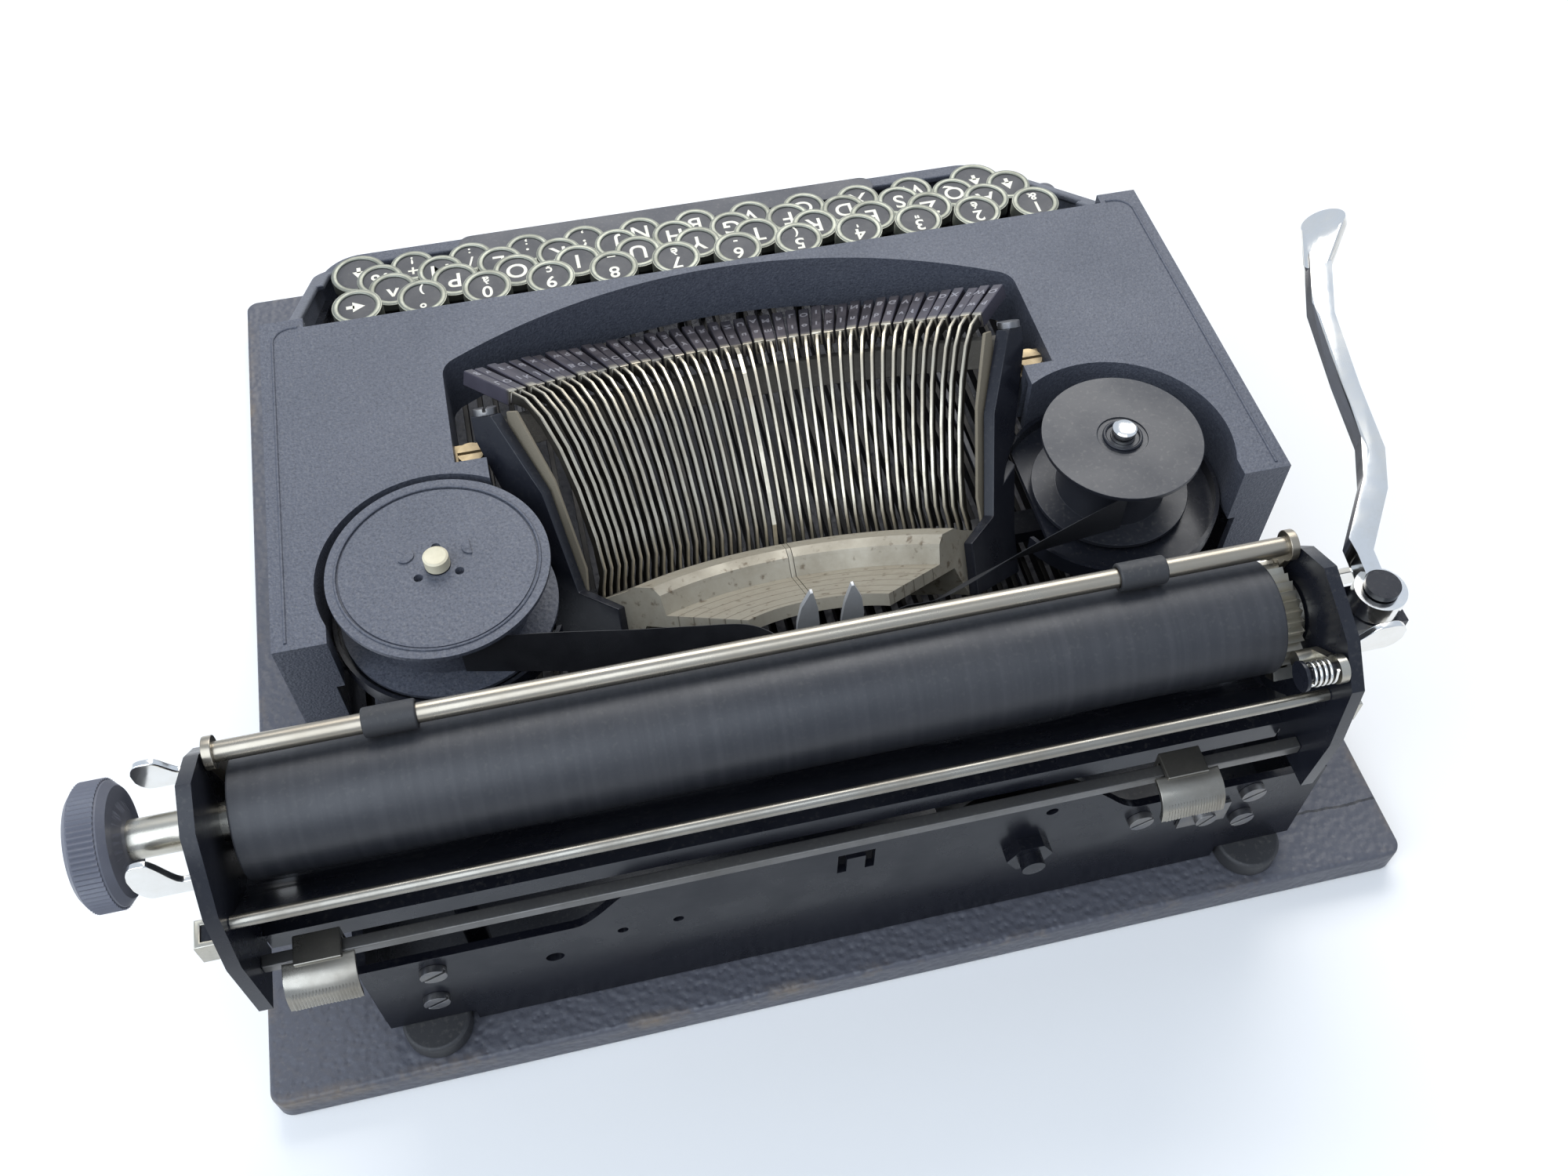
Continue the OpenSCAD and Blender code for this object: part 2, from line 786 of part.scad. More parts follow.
module margin_rail() {
    color(nickel) box([end_x0 + end_t, stop_y - 1.5, stop_z - 1.5], [end_x1, stop_y + 1.5, stop_z + 1.5]);
}

module margin_stop(x) {
    color(bright) translate([x, stop_y, stop_z]) difference() {
        union() {
            box([-5, -3.4, -3.4], [5, 3.4, 3.4]);
            plate_x(-7.2, 7.2) polygon(strip([[2.6, 1.5], [6, 0.8], [8, -1], [8.8, -3.6]], 1.6));
        }
        box([-20, -1.5 - slide, -1.5 - slide], [20, 1.5 + slide, 1.5 + slide]);
    }
}

module margin_stop_right() {
    margin_stop(stop_x[0]);
}

module margin_stop_left() {
    margin_stop(stop_x[1]);
}

// Points of the detent spring's wire: a straight start, a bend, then curls about the pin
wire_r = 0.35;
coil_r = 2.6;
curls = 4;
coil_pitch = 1.2;
bend = 0.7;
function coil_at(x, a) = [x, detent_pin[0] + coil_r*cos(a), detent_pin[1] + coil_r*sin(a)];
bend_a = bend/coil_r*180/PI;
coil_x = spring_x - 0.7 - bend;
coil_end = coil_at(coil_x - curls*coil_pitch, bend_a + 360*curls);
coil_dir = [0, -sin(bend_a), cos(bend_a)];
wire = concat([coil_at(spring_x, 0)],
    [for (s = [0:0.25:1]) coil_at(spring_x - 0.7 - bend*sin(90*s), bend_a*(1 - cos(90*s)))],
    [for (i = [1:16*curls]) coil_at(coil_x - coil_pitch*i/16, bend_a + 22.5*i)],
    [coil_end + coil_dir*1.2, coil_end + coil_dir*2.4]);
wire_gap = min([for (i = [0:len(wire) - 13]) for (j = [i + 10:len(wire) - 1]) norm(wire[i] - wire[j])]) - 2*wire_r;

function tangent(p, i) = unit(p[min(i + 1, len(p) - 1)] - p[max(i - 1, 0)]);
function ring(p, i, r, n) = let (t = tangent(p, i), u = unit(cross(t, [0.31, 0.83, 0.46])), v = cross(t, u))
    [for (k = [0:n - 1]) p[i] + r*cos(360*k/n)*u + r*sin(360*k/n)*v];

// Round tube along a list of points
module tube(p, r, n) {
    m = len(p);
    polyhedron([for (i = [0:m - 1]) each ring(p, i, r, n)],
        concat([[for (k = [n - 1:-1:0]) k]], [[for (k = [0:n - 1]) (m - 1)*n + k]],
        [for (i = [0:m - 2]) for (k = [0:n - 1])
            [i*n + k, i*n + (k + 1)%n, (i + 1)*n + (k + 1)%n, (i + 1)*n + k]]));
}

module detent_spring() {
    echo(str("detent spring least gap between curls ", wire_gap));
    color(bright) tube(wire, wire_r, 8);
}

module feed_roller() {
    color(rubber) {
        bar_x(-90, 126, feed_axis[0], feed_axis[1], 4.8);
        bar_x(end_x0 + 0.5, end_x1 + end_t - 0.5, feed_axis[0], feed_axis[1], 1.8);
    }
}

module platen_rubber() {
    color(rubber) difference() {
        bar_x(platen_x0, platen_x1, platen_y, platen_z, platen_r);
        bar_x(platen_x0 - 1, platen_x1 + 1, platen_y, platen_z, shaft_r);
    }
}

knob_x = 152.5;

module platen_shaft() {
    color(nickel) bar_x(-108, knob_x, platen_y, platen_z, shaft_r);
}

module platen_knob() {
    ribs = 72;
    color(rubber) translate([knob_x, platen_y, platen_z]) rotate([90, 0, 90]) {
        rotate_extrude($fn = 96) polygon([[0, 0], [6, 0], [8.5, 1.2], [knob_d/2 - 2, 1.2], [knob_d/2 - 0.6, 2.6],
            [knob_d/2 - 0.6, 8.4], [knob_d/2 - 2, 9.5], [0, 9.5]]);
        translate([0, 0, 3]) linear_extrude(5) polygon([for (i = [0:2*ribs - 1])
            (knob_d/2 - (i%2)*0.5)*[cos(180*i/ribs), sin(180*i/ribs)]]);
    }
}

module ratchet_wheel() {
    color(nickel) difference() {
        translate([-99, platen_y, platen_z]) rotate([90, 0, 90]) linear_extrude(99 + platen_x0) polygon([
            for (i = [0:ratchet_n - 1]) each [ratchet_r*[cos(360*i/ratchet_n), sin(360*i/ratchet_n)],
            (ratchet_r - 1.5)*[cos(360*(i + 0.35)/ratchet_n), sin(360*(i + 0.35)/ratchet_n)]]]);
        bar_x(-110, -90, platen_y, platen_z, shaft_r);
    }
}

module lever_link(a, b) {
    hull() {
        translate(a) cube([4, 4.4, 4.8], center = true);
        translate(b) cube([4, 4.4, 4.8], center = true);
    }
}

module return_lever() {
    p = [[lever_x, 115.5, 104.5], [-121.5, 108, 107], [-131, 94, 110], [-135, 83.5, 111.5], [-136.5, 65.5, 114],
        [-139, 44, 117.5], [-144.5, 29, 120]];
    color(bright) difference() {
        union() {
            translate([lever_x, lever_y, lever_z]) cylinder(h = 5.5, r = 6);
            for (i = [0:5]) {
                lever_link(p[i], p[i + 1]);
            }
            hull() {
                translate([-144.5, 29, 120]) rotate([20, 24, 0]) cylinder(h = 2, r = 3.4, center = true, $fn = 32);
                translate([-151, 17.5, 122]) rotate([20, 24, 0]) cylinder(h = 2, r = 5.6, center = true, $fn = 32);
            }
        }
        translate([lever_x, lever_y, 90]) cylinder(h = 30, r = 2.5 + fit);
        translate([lever_x, lever_y, lever_z + 5.5]) cylinder(h = 10, r = 4 + slide);
    }
}

module line_space_pawl() {
    c = [platen_y, platen_z];
    d = [cos(-50), sin(-50)];
    color(nickel) difference() {
        union() {
            bar_x(-101.5, -99.5, platen_y, platen_z, 7.5);
            plate_x(-101.5, -99.5) polygon(strip([c + 5*d, c + 15.6*d], 4));
            plate_x(-100, -96) polygon(strip([c + 12.7*d, c + 15.6*d], 4));
        }
        bar_x(-110, -90, platen_y, platen_z, shaft_r + fit);
    }
}

// Half height of a leaf-shaped paddle at share s of its length, h at its widest
function leaf_half(s, h) = (2.2 + (h - 2.2)*ease((s - 0.3)/0.35))*sqrt(1 - pow(max(0, (s - 0.78)/0.22), 2));

// Outline of a paddle from its neck at x0 to its round end at x1, between two heights
module leaf(x0, x1, z0, z1) {
    h = (z1 - z0)/2;
    share = [for (i = [0:24]) 0.99*i/24];
    mid = [for (s = share) z0 + 2.2 + (h - 2.2)*ease((s - 0.3)/0.35)];
    polygon(concat([for (i = [0:24]) [x0 + (x1 - x0)*share[i], mid[i] + leaf_half(share[i], h)]],
        [for (i = [24:-1:0]) [x0 + (x1 - x0)*share[i], mid[i] - leaf_half(share[i], h)]]));
}

// Flat lever turning on a pin along X, with a leaf-shaped paddle that stands out sideways to x = far
module thumb_lever(x0, pin, tip, far, lift) {
    near = far > x0 ? x0 : x0 + 2;
    difference() {
        union() {
            bar_x(x0, x0 + 2, pin[0], pin[1], 3.6);
            plate_x(x0, x0 + 2) polygon(strip([pin, tip], 5));
            plate_y(tip[0] - 0.8, tip[0] + 0.8) leaf(near, far, tip[1] - 2.5, tip[1] + lift);
        }
        bar_x(x0 - 5, x0 + 7, pin[0], pin[1], 1.8 + fit);
    }
}

out_x = end_x1 + end_t + slide;
left_x = end_x0 - slide - 2;

module carriage_release_right() {
    color(bright) thumb_lever(out_x, release_pin, [104.2, 103], knob_x - 0.7, 7);
}

module paper_release_lever() {
    color(bright) thumb_lever(out_x, paper_pin, [128.6, 101], knob_x - 0.7, 11);
}

module carriage_release_left() {
    color(bright) thumb_lever(left_x, left_pin, [128, 99.5], -125, 6.5);
}

module line_space_selector() {
    color(bright) thumb_lever(left_x, selector_pin, [108.4, 97.5], -127, 2.8);
}

module detent_roller() {
    color(nickel) difference() {
        union() {
            bar_x(-101.5, -99.5, detent_pin[0], detent_pin[1], 3.2);
            plate_x(-101.5, -99.5) polygon(strip([detent_pin, [131.5, 104.5]], 4.4));
            bar_x(-101.5, -95.8, 131.5, 104.5, 2.2);
        }
        bar_x(-110, -90, detent_pin[0], detent_pin[1], 1.6 + fit);
    }
}

module paper_bail() {
    ends = [end_x0 + end_t + slide, end_x1 - 2.6];
    color(bright) difference() {
        union() {
            bar_x(ends[0], ends[1] + 2, bail_y, bail_z, bail_r);
            for (x = ends) {
                bar_x(x, x + 2, bail_py, bail_pz, 4);
                bar_x(x, x + 2, bail_y, bail_z, 3.5);
                plate_x(x, x + 2) polygon(strip([bail_pin, [bail_y, bail_z]], 5));
            }
        }
        bar_x(-150, 180, bail_py, bail_pz, 2 + fit);
    }
}

module bail_rollers() {
    color(rubber) for (x = [91.2, -71.2]) {
        difference() {
            bar_x(x, x + 11, bail_y, bail_z, bail_roll_r);
            bar_x(x - 1, x + 12, bail_y, bail_z, bail_r + fit);
        }
    }
}

base_board();
rubber_feet();
main_frame();
rear_plate();
top_cover();
keyboard_surround();
type_segment();
segment_arms();
type_rest();
spool_cups();
fulcrum_rod();
cover_brackets();
frame_screws();
type_bars();
ribbon();
ribbon_vibrator();
spool_right();
spool_left();
shift_frame();
mainspring_drum();
carriage_frame();
carriage_ends();
paper_table();
margin_rail();
detent_spring();
feed_roller();
margin_stop_right();
margin_stop_left();
platen_rubber();
platen_shaft();
platen_knob();
ratchet_wheel();
return_lever();
line_space_pawl();
line_space_selector();
detent_roller();
paper_bail();
bail_rollers();
carriage_release_right();
paper_release_lever();
carriage_release_left();
space_bar();
shift_keys();
shift_lock();
backspace_key();
number_keys();
upper_row_keys();
lower_row_keys();
key_q();
key_s();
key_d();
key_f();
key_g();
key_h();
key_j();
key_k();
key_l();
key_m();
key_percent();
type_bar_h();
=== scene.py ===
import json
import math
import bpy
from mathutils import Matrix, Vector


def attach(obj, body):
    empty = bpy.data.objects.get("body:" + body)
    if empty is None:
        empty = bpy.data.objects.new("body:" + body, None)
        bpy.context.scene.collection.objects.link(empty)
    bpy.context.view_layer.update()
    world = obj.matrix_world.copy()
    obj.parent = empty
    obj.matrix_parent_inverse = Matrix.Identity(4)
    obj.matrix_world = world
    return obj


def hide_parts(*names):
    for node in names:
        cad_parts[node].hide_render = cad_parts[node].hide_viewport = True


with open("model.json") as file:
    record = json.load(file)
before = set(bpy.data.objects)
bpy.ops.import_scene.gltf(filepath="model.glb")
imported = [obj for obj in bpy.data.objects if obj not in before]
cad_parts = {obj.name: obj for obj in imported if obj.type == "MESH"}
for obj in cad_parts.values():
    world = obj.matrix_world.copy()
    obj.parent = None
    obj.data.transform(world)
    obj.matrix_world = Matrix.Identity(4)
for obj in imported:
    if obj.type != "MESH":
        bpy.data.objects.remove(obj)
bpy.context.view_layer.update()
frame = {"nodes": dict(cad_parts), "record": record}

cadNodes = frame["nodes"]
mm = 0.001
print("frame loaded,", len(cadNodes), "nodes")


# small helpers for working by hand with operators
def pickOnly(*objs):
    if bpy.context.object and bpy.context.object.mode != "OBJECT":
        bpy.ops.object.mode_set(mode="OBJECT")
    bpy.ops.object.select_all(action="DESELECT")
    for obj in objs:
        obj.select_set(True)
    bpy.context.view_layer.objects.active = objs[0] if objs else None


def pickFaces(obj, test):
    pickOnly(obj)
    bpy.ops.object.mode_set(mode="EDIT")
    bpy.ops.mesh.select_mode(type="FACE")
    bpy.ops.mesh.select_all(action="DESELECT")
    bpy.ops.object.mode_set(mode="OBJECT")
    for face in obj.data.polygons:
        face.select = bool(test(face))
    bpy.ops.object.mode_set(mode="EDIT")


def settle(obj, name=None):
    pickOnly(obj)
    bpy.ops.object.transform_apply(location=True, rotation=True, scale=True)
    if name:
        obj.name = name
        obj.data.name = name
    return obj


def addModifier(obj, kind, **values):
    pickOnly(obj)
    mod = obj.modifiers.new(kind.title(), kind)
    for key, value in values.items():
        setattr(mod, key, value)
    bpy.ops.object.modifier_apply(modifier=mod.name)


def copyOf(obj, shift):
    twin = obj.copy()
    twin.data = obj.data.copy()
    bpy.context.scene.collection.objects.link(twin)
    twin.location = shift
    return settle(twin)


def joinAll(objs, name):
    pickOnly(*objs)
    if len(objs) > 1:
        bpy.ops.object.join()
    return settle(objs[0], name)


def softShade(obj, angle=35):
    pickOnly(obj)
    bpy.ops.object.shade_smooth_by_angle(angle=math.radians(angle))


def dress(obj, material, body):
    obj.data.materials.clear()
    obj.data.materials.append(material)
    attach(obj, body)


def tubeAlong(points, radius, name, closed=False, sides=4):
    pickOnly()
    bpy.ops.curve.primitive_bezier_curve_add()
    line = bpy.context.object
    line.data.splines.clear()
    spline = line.data.splines.new("POLY")
    spline.points.add(len(points) - 1)
    for spot, point in zip(spline.points, points):
        spot.co = (*point, 1)
    spline.use_cyclic_u = closed
    line.data.dimensions = "3D"
    line.data.bevel_depth = radius
    line.data.bevel_resolution = sides
    line.data.use_fill_caps = True
    line.location = (0, 0, 0)
    pickOnly(line)
    bpy.ops.object.convert(target="MESH")
    softShade(line, 40)
    return settle(line, name)


# shared surface groups
def newGroup(name, inputs, outputs):
    group = bpy.data.node_groups.new(name, "ShaderNodeTree")
    for label, kind, value in inputs:
        socket = group.interface.new_socket(label, in_out="INPUT", socket_type=kind)
        socket.default_value = value
    for label, kind in outputs:
        group.interface.new_socket(label, in_out="OUTPUT", socket_type=kind)
    entry = group.nodes.new("NodeGroupInput")
    leave = group.nodes.new("NodeGroupOutput")
    return group, entry.outputs, leave.inputs


def addNode(tree, kind, links=None, **values):
    made = tree.nodes.new(kind)
    for key, value in values.items():
        setattr(made, key, value)
    for key, value in (links or {}).items():
        socket = made.inputs[key]
        if isinstance(value, bpy.types.NodeSocket):
            tree.links.new(value, socket)
        else:
            socket.default_value = value
    return made


def objectPoint(tree):
    return addNode(tree, "ShaderNodeTexCoord").outputs["Object"]


def mixColor(tree, share, first, second):
    made = tree.nodes.new("ShaderNodeMix")
    made.data_type = "RGBA"
    for socket, value in ((made.inputs[0], share), (made.inputs[6], first), (made.inputs[7], second)):
        if isinstance(value, bpy.types.NodeSocket):
            tree.links.new(value, socket)
        else:
            socket.default_value = value
    return made.outputs[2]


def spread(tree, value, low, high, outLow=0.0, outHigh=1.0):
    return addNode(tree, "ShaderNodeMapRange",
                   {"Value": value, "From Min": low, "From Max": high, "To Min": outLow,
                    "To Max": outHigh}).outputs[0]


def calc(tree, kind, first, second=0.0):
    return addNode(tree, "ShaderNodeMath", {0: first, 1: second}, operation=kind).outputs[0]


# patches of handling wear and settled dust, as colour and a 0 to 1 mask
wearGroup, ins, outs = newGroup(
    "handlingWear",
    [("Base", "NodeSocketColor", (0.1, 0.1, 0.1, 1)), ("Worn", "NodeSocketColor", (0.3, 0.3, 0.3, 1)),
     ("Dust", "NodeSocketColor", (0.45, 0.42, 0.36, 1)), ("Patch Scale", "NodeSocketFloat", 40.0),
     ("Worn Share", "NodeSocketFloat", 0.3), ("Dust Share", "NodeSocketFloat", 0.2)],
    [("Color", "NodeSocketColor"), ("Mask", "NodeSocketFloat")])
point = objectPoint(wearGroup)
broad = addNode(wearGroup, "ShaderNodeTexNoise",
                {"Vector": point, "Scale": ins["Patch Scale"], "Detail": 6.0, "Roughness": 0.65})
fine = addNode(wearGroup, "ShaderNodeTexNoise", {"Vector": point, "Scale": 900.0, "Detail": 3.0})
mask = spread(wearGroup, broad.outputs["Fac"], 0.38, 0.68)
wornMask = calc(wearGroup, "MULTIPLY", mask, ins["Worn Share"])
speck = spread(wearGroup, fine.outputs["Fac"], 0.55, 0.8)
upward = addNode(wearGroup, "ShaderNodeSeparateXYZ",
                 {0: addNode(wearGroup, "ShaderNodeNewGeometry").outputs["Normal"]}).outputs["Z"]
dustMask = calc(wearGroup, "MULTIPLY", calc(wearGroup, "MULTIPLY", spread(wearGroup, upward, 0.2, 0.9),
                                            speck), ins["Dust Share"])
tone = mixColor(wearGroup, wornMask, ins["Base"], ins["Worn"])
tone = mixColor(wearGroup, dustMask, tone, ins["Dust"])
wearGroup.links.new(tone, outs["Color"])
wearGroup.links.new(mask, outs["Mask"])

# fine relief: crinkle paint, cast grain and orange peel by scale
grainGroup, ins, outs = newGroup(
    "fineRelief",
    [("Scale", "NodeSocketFloat", 800.0), ("Cells", "NodeSocketFloat", 0.5),
     ("Detail", "NodeSocketFloat", 3.0)],
    [("Height", "NodeSocketFloat")])
point = objectPoint(grainGroup)
noise = addNode(grainGroup, "ShaderNodeTexNoise",
                {"Vector": point, "Scale": ins["Scale"], "Detail": ins["Detail"]})
cells = addNode(grainGroup, "ShaderNodeTexVoronoi", {"Vector": point, "Scale": ins["Scale"]},
                feature="SMOOTH_F1")
height = addNode(grainGroup, "ShaderNodeMix", {0: ins["Cells"], 2: noise.outputs["Fac"],
                                               3: cells.outputs["Distance"]})
grainGroup.links.new(height.outputs[0], outs["Height"])


def makeFinish(name, look):
    made = bpy.data.materials.new(name)
    made.use_nodes = True
    tree = made.node_tree
    shader = tree.nodes["Principled BSDF"]
    wear = addNode(tree, "ShaderNodeGroup", node_tree=wearGroup)
    wear.inputs["Base"].default_value = (*look["base"], 1)
    wear.inputs["Worn"].default_value = (*look.get("worn", look["base"]), 1)
    wear.inputs["Dust"].default_value = (*look.get("dust", (0.42, 0.39, 0.33)), 1)
    wear.inputs["Patch Scale"].default_value = look.get("patch", 45.0)
    wear.inputs["Worn Share"].default_value = look.get("wornShare", 0.4)
    wear.inputs["Dust Share"].default_value = look.get("dustShare", 0.15)
    tree.links.new(wear.outputs["Color"], shader.inputs["Base Color"])
    low, high = look["rough"]
    tree.links.new(spread(tree, wear.outputs["Mask"], 0.0, 1.0, low, high), shader.inputs["Roughness"])
    relief = addNode(tree, "ShaderNodeGroup", node_tree=grainGroup)
    relief.inputs["Scale"].default_value = look.get("grain", 900.0)
    relief.inputs["Cells"].default_value = look.get("cells", 0.3)
    bump = addNode(tree, "ShaderNodeBump", {"Height": relief.outputs["Height"],
                                            "Distance": look.get("depth", 0.0002),
                                           "Strength": look.get("bump", 0.3)})
    tree.links.new(bump.outputs["Normal"], shader.inputs["Normal"])
    shader.inputs["Metallic"].default_value = look.get("metal", 0.0)
    shader.inputs["Coat Weight"].default_value = look.get("coat", 0.0)
    shader.inputs["Coat Roughness"].default_value = look.get("coatRough", 0.1)
    shader.inputs["Specular IOR Level"].default_value = look.get("specular", 0.5)
    return made


looks = {
    "leatherette": {"base": (0.078, 0.080, 0.097), "worn": (0.082, 0.083, 0.093), "rough": (0.42, 0.6),
                    "grain": 420.0,
                    "cells": 0.75, "depth": 0.0006, "bump": 0.55, "patch": 14.0, "dustShare": 0.10},
    "blackRubber": {"base": (0.022, 0.022, 0.024), "worn": (0.040, 0.039, 0.038), "rough": (0.5, 0.68),
                    "grain": 1500.0, "bump": 0.15, "patch": 30.0, "dustShare": 0.10},
    "blackEnamel": {"base": (0.010, 0.011, 0.016), "worn": (0.022, 0.023, 0.029), "rough": (0.2, 0.42),
                    "grain": 250.0,
                    "bump": 0.08, "depth": 0.0003, "patch": 35.0, "dustShare": 0.07, "specular": 0.3,
                    "coat": 0.06, "coatRough": 0.15},
    "crinklePaint": {"base": (0.075, 0.081, 0.104), "worn": (0.082, 0.087, 0.103), "rough": (0.5, 0.62),
                     "grain": 1900.0,
                     "cells": 0.55, "depth": 0.0004, "bump": 0.5, "patch": 20.0, "dustShare": 0.12},
    "agedNickel": {"base": (0.50, 0.48, 0.42), "worn": (0.30, 0.27, 0.21), "rough": (0.2, 0.42), "metal": 1.0,
                   "grain": 700.0, "bump": 0.06, "patch": 90.0, "wornShare": 0.7, "dustShare": 0.12},
    "brightNickel": {"base": (0.80, 0.79, 0.76), "worn": (0.62, 0.58, 0.50), "rough": (0.1, 0.24),
                     "metal": 1.0,
                     "grain": 500.0, "bump": 0.04, "patch": 70.0, "wornShare": 0.5, "dustShare": 0.05},
    "plainSteel": {"base": (0.50, 0.49, 0.47), "worn": (0.32, 0.29, 0.25), "rough": (0.3, 0.5), "metal": 1.0,
                   "grain": 600.0, "bump": 0.1, "patch": 60.0, "wornShare": 0.6},
    "agedBrass": {"base": (0.34, 0.265, 0.155), "worn": (0.22, 0.17, 0.11), "rough": (0.42, 0.6),
                  "metal": 0.8, "grain": 600.0, "bump": 0.1, "patch": 120.0, "wornShare": 0.8},
    "feltPad": {"base": (0.10, 0.09, 0.075), "worn": (0.16, 0.145, 0.12), "rough": (0.85, 0.95),
                "grain": 2500.0, "bump": 0.6, "patch": 80.0},
    "inkedTape": {"base": (0.010, 0.010, 0.012), "worn": (0.022, 0.022, 0.025), "rough": (0.45, 0.62),
                  "grain": 3000.0, "bump": 0.3, "patch": 60.0, "dustShare": 0.08},
    "blackPlastic": {"base": (0.040, 0.041, 0.050), "worn": (0.055, 0.056, 0.066), "rough": (0.38, 0.55),
                     "grain": 900.0, "bump": 0.06, "patch": 50.0, "dustShare": 0.12},
}
finishes = {name: makeFinish(name, look) for name, look in looks.items()}
slotFinish = {"leatherette": "leatherette", "black_rubber": "blackRubber", "black_enamel": "blackEnamel",
              "crinkle_paint": "crinklePaint", "nickel": "agedNickel", "bright_nickel": "brightNickel",
              "steel": "plainSteel", "type_steel": "agedNickel", "brass_tab": "agedBrass", "felt": "feltPad",
              "inked_tape": "inkedTape", "black_plastic": "blackPlastic"}
for part in frame["record"]["subparts"]:
    owner = cadNodes[part["node"]]
    owner.data.materials.clear()
    owner.data.materials.append(finishes[slotFinish[part["material_slot"]]])
print("finishes made and laid on the solids")


# camera, light and floor
viewFrom = {"right": (-0.973691, 0.227845, 0.003566), "down": (0.182555, 0.78932, -0.586214),
            "ahead": (-0.136381, -0.57014, -0.810149), "place": (0.054665, 0.277748, 0.375608),
            "lens": 33.808}
lens = bpy.data.cameras.new("photoCamera")
lens.lens = viewFrom["lens"]
lens.sensor_width = 36.0
lens.clip_start = 0.01
camera = bpy.data.objects.new("photoCamera", lens)
bpy.context.scene.collection.objects.link(camera)
rows = [Vector(viewFrom["right"]), -Vector(viewFrom["down"]), -Vector(viewFrom["ahead"])]
turn = Matrix((rows[0], rows[1], rows[2])).transposed().to_4x4()
camera.matrix_world = Matrix.Translation(viewFrom["place"]) @ turn
bpy.context.scene.camera = camera


def softLamp(name, place, aim, size, power, tint):
    light = bpy.data.lights.new(name, "AREA")
    light.shape = "RECTANGLE"
    light.size, light.size_y = size
    light.energy = power
    light.color = tint
    lamp = bpy.data.objects.new(name, light)
    bpy.context.scene.collection.objects.link(lamp)
    lamp.location = place
    lamp.rotation_euler = (Vector(aim) - Vector(place)).to_track_quat("-Z", "Y").to_euler()


softLamp("windowLight", (-0.25, -0.95, 1.15), (0, 0.02, 0.05), (1.3, 0.9), 17.0, (1.0, 0.985, 0.96))
softLamp("skyFill", (0.55, 0.85, 1.35), (0, 0.1, 0.0), (1.6, 1.4), 19.0, (0.82, 0.90, 1.0))
softLamp("sideFill", (1.2, 0.3, 0.7), (0.05, 0.05, 0.06), (0.9, 0.9), 5.5, (0.80, 0.89, 1.0))
sky = bpy.data.worlds.new("paleRoom")
sky.use_nodes = True
bpy.context.scene.world = sky
tree = sky.node_tree
ground = tree.nodes["Background"]
ground.inputs["Color"].default_value = (0.74, 0.84, 1.0, 1)
rays = addNode(tree, "ShaderNodeLightPath").outputs
seen = calc(tree, "MAXIMUM", calc(tree, "MAXIMUM", rays["Is Camera Ray"], rays["Is Glossy Ray"]),
            rays["Is Transmission Ray"])
tree.links.new(spread(tree, seen, 0.0, 1.0, 0.46, 0.9), ground.inputs["Strength"])

floorLook = {"base": (0.94, 0.925, 0.90), "worn": (0.91, 0.895, 0.87), "dust": (0.7, 0.7, 0.7),
             "rough": (0.6, 0.75),
             "patch": 3.0, "grain": 300.0, "bump": 0.05, "dustShare": 0.0, "specular": 0.3}
bpy.ops.mesh.primitive_plane_add(size=5.0, location=(0, 0, 0))
table = settle(bpy.context.object, "paleTable")
table.data.materials.append(makeFinish("paleSurface", floorLook))
bpy.context.scene.view_settings.view_transform = "Standard"
print("camera, light and floor set")


# finishes that depend on where they are on the part
basketSpot, basketTilt = (0, 0.1004, 0.0991), math.radians(40)


def basketPoint(tree, source=None, kind="TEXTURE"):
    made = addNode(tree, "ShaderNodeMapping", {"Vector": source or objectPoint(tree)}, vector_type=kind)
    if kind == "TEXTURE":
        made.inputs["Location"].default_value = basketSpot
        made.inputs["Rotation"].default_value = (basketTilt, 0, 0)
    else:
        made.inputs["Rotation"].default_value = (-basketTilt, 0, 0)
    return made.outputs[0]


def axisOf(tree, vector, axis):
    return addNode(tree, "ShaderNodeSeparateXYZ", {0: vector}).outputs[axis]


def lengthOf(tree, first, second):
    return calc(tree, "SQRT", calc(tree, "ADD", calc(tree, "MULTIPLY", first, first),
                                   calc(tree, "MULTIPLY", second, second)))


def recolor(material, share, color):
    tree = material.node_tree
    target = tree.nodes["Principled BSDF"].inputs["Base Color"]
    tree.links.new(mixColor(tree, share, target.links[0].from_socket, color), target)


# type bars: nickel faces, dark inked slugs, and painted shade on the flanks that face the neighbouring bars
typeFinish = makeFinish("typeBarNickel", {"base": (0.60, 0.55, 0.44), "worn": (0.36, 0.31, 0.23),
                                          "rough": (0.28, 0.48), "metal": 0.85,
                                          "grain": 900.0, "bump": 0.08, "patch": 110.0, "wornShare": 0.75,
                                          "dustShare": 0.1})
tree = typeFinish.node_tree
local = basketPoint(tree)
across = addNode(tree, "ShaderNodeVectorMath",
                 {0: addNode(tree, "ShaderNodeVectorMath", {0: local, 1: (0, 0, 1)},
                             operation="CROSS_PRODUCT").outputs[0]},
                 operation="NORMALIZE").outputs[0]
facing = basketPoint(tree, addNode(tree, "ShaderNodeNewGeometry").outputs["Normal"], "VECTOR")
flank = calc(tree, "ABSOLUTE", addNode(tree, "ShaderNodeVectorMath", {0: facing, 1: across},
                                       operation="DOT_PRODUCT").outputs["Value"])
radius = lengthOf(tree, axisOf(tree, local, "X"), axisOf(tree, local, "Y"))
slug = calc(tree, "MULTIPLY", spread(tree, radius, 0.0920, 0.0935),
            spread(tree, axisOf(tree, local, "Z"), 0.0545, 0.0565))
# painted shade: the sides facing the neighbouring bars are darkened nearly to black
recolor(typeFinish, spread(tree, flank, 0.35, 0.8, 0.0, 0.93), (0.020, 0.018, 0.016, 1))
recolor(typeFinish, calc(tree, "MULTIPLY", slug, 0.9), (0.092, 0.083, 0.106, 1))
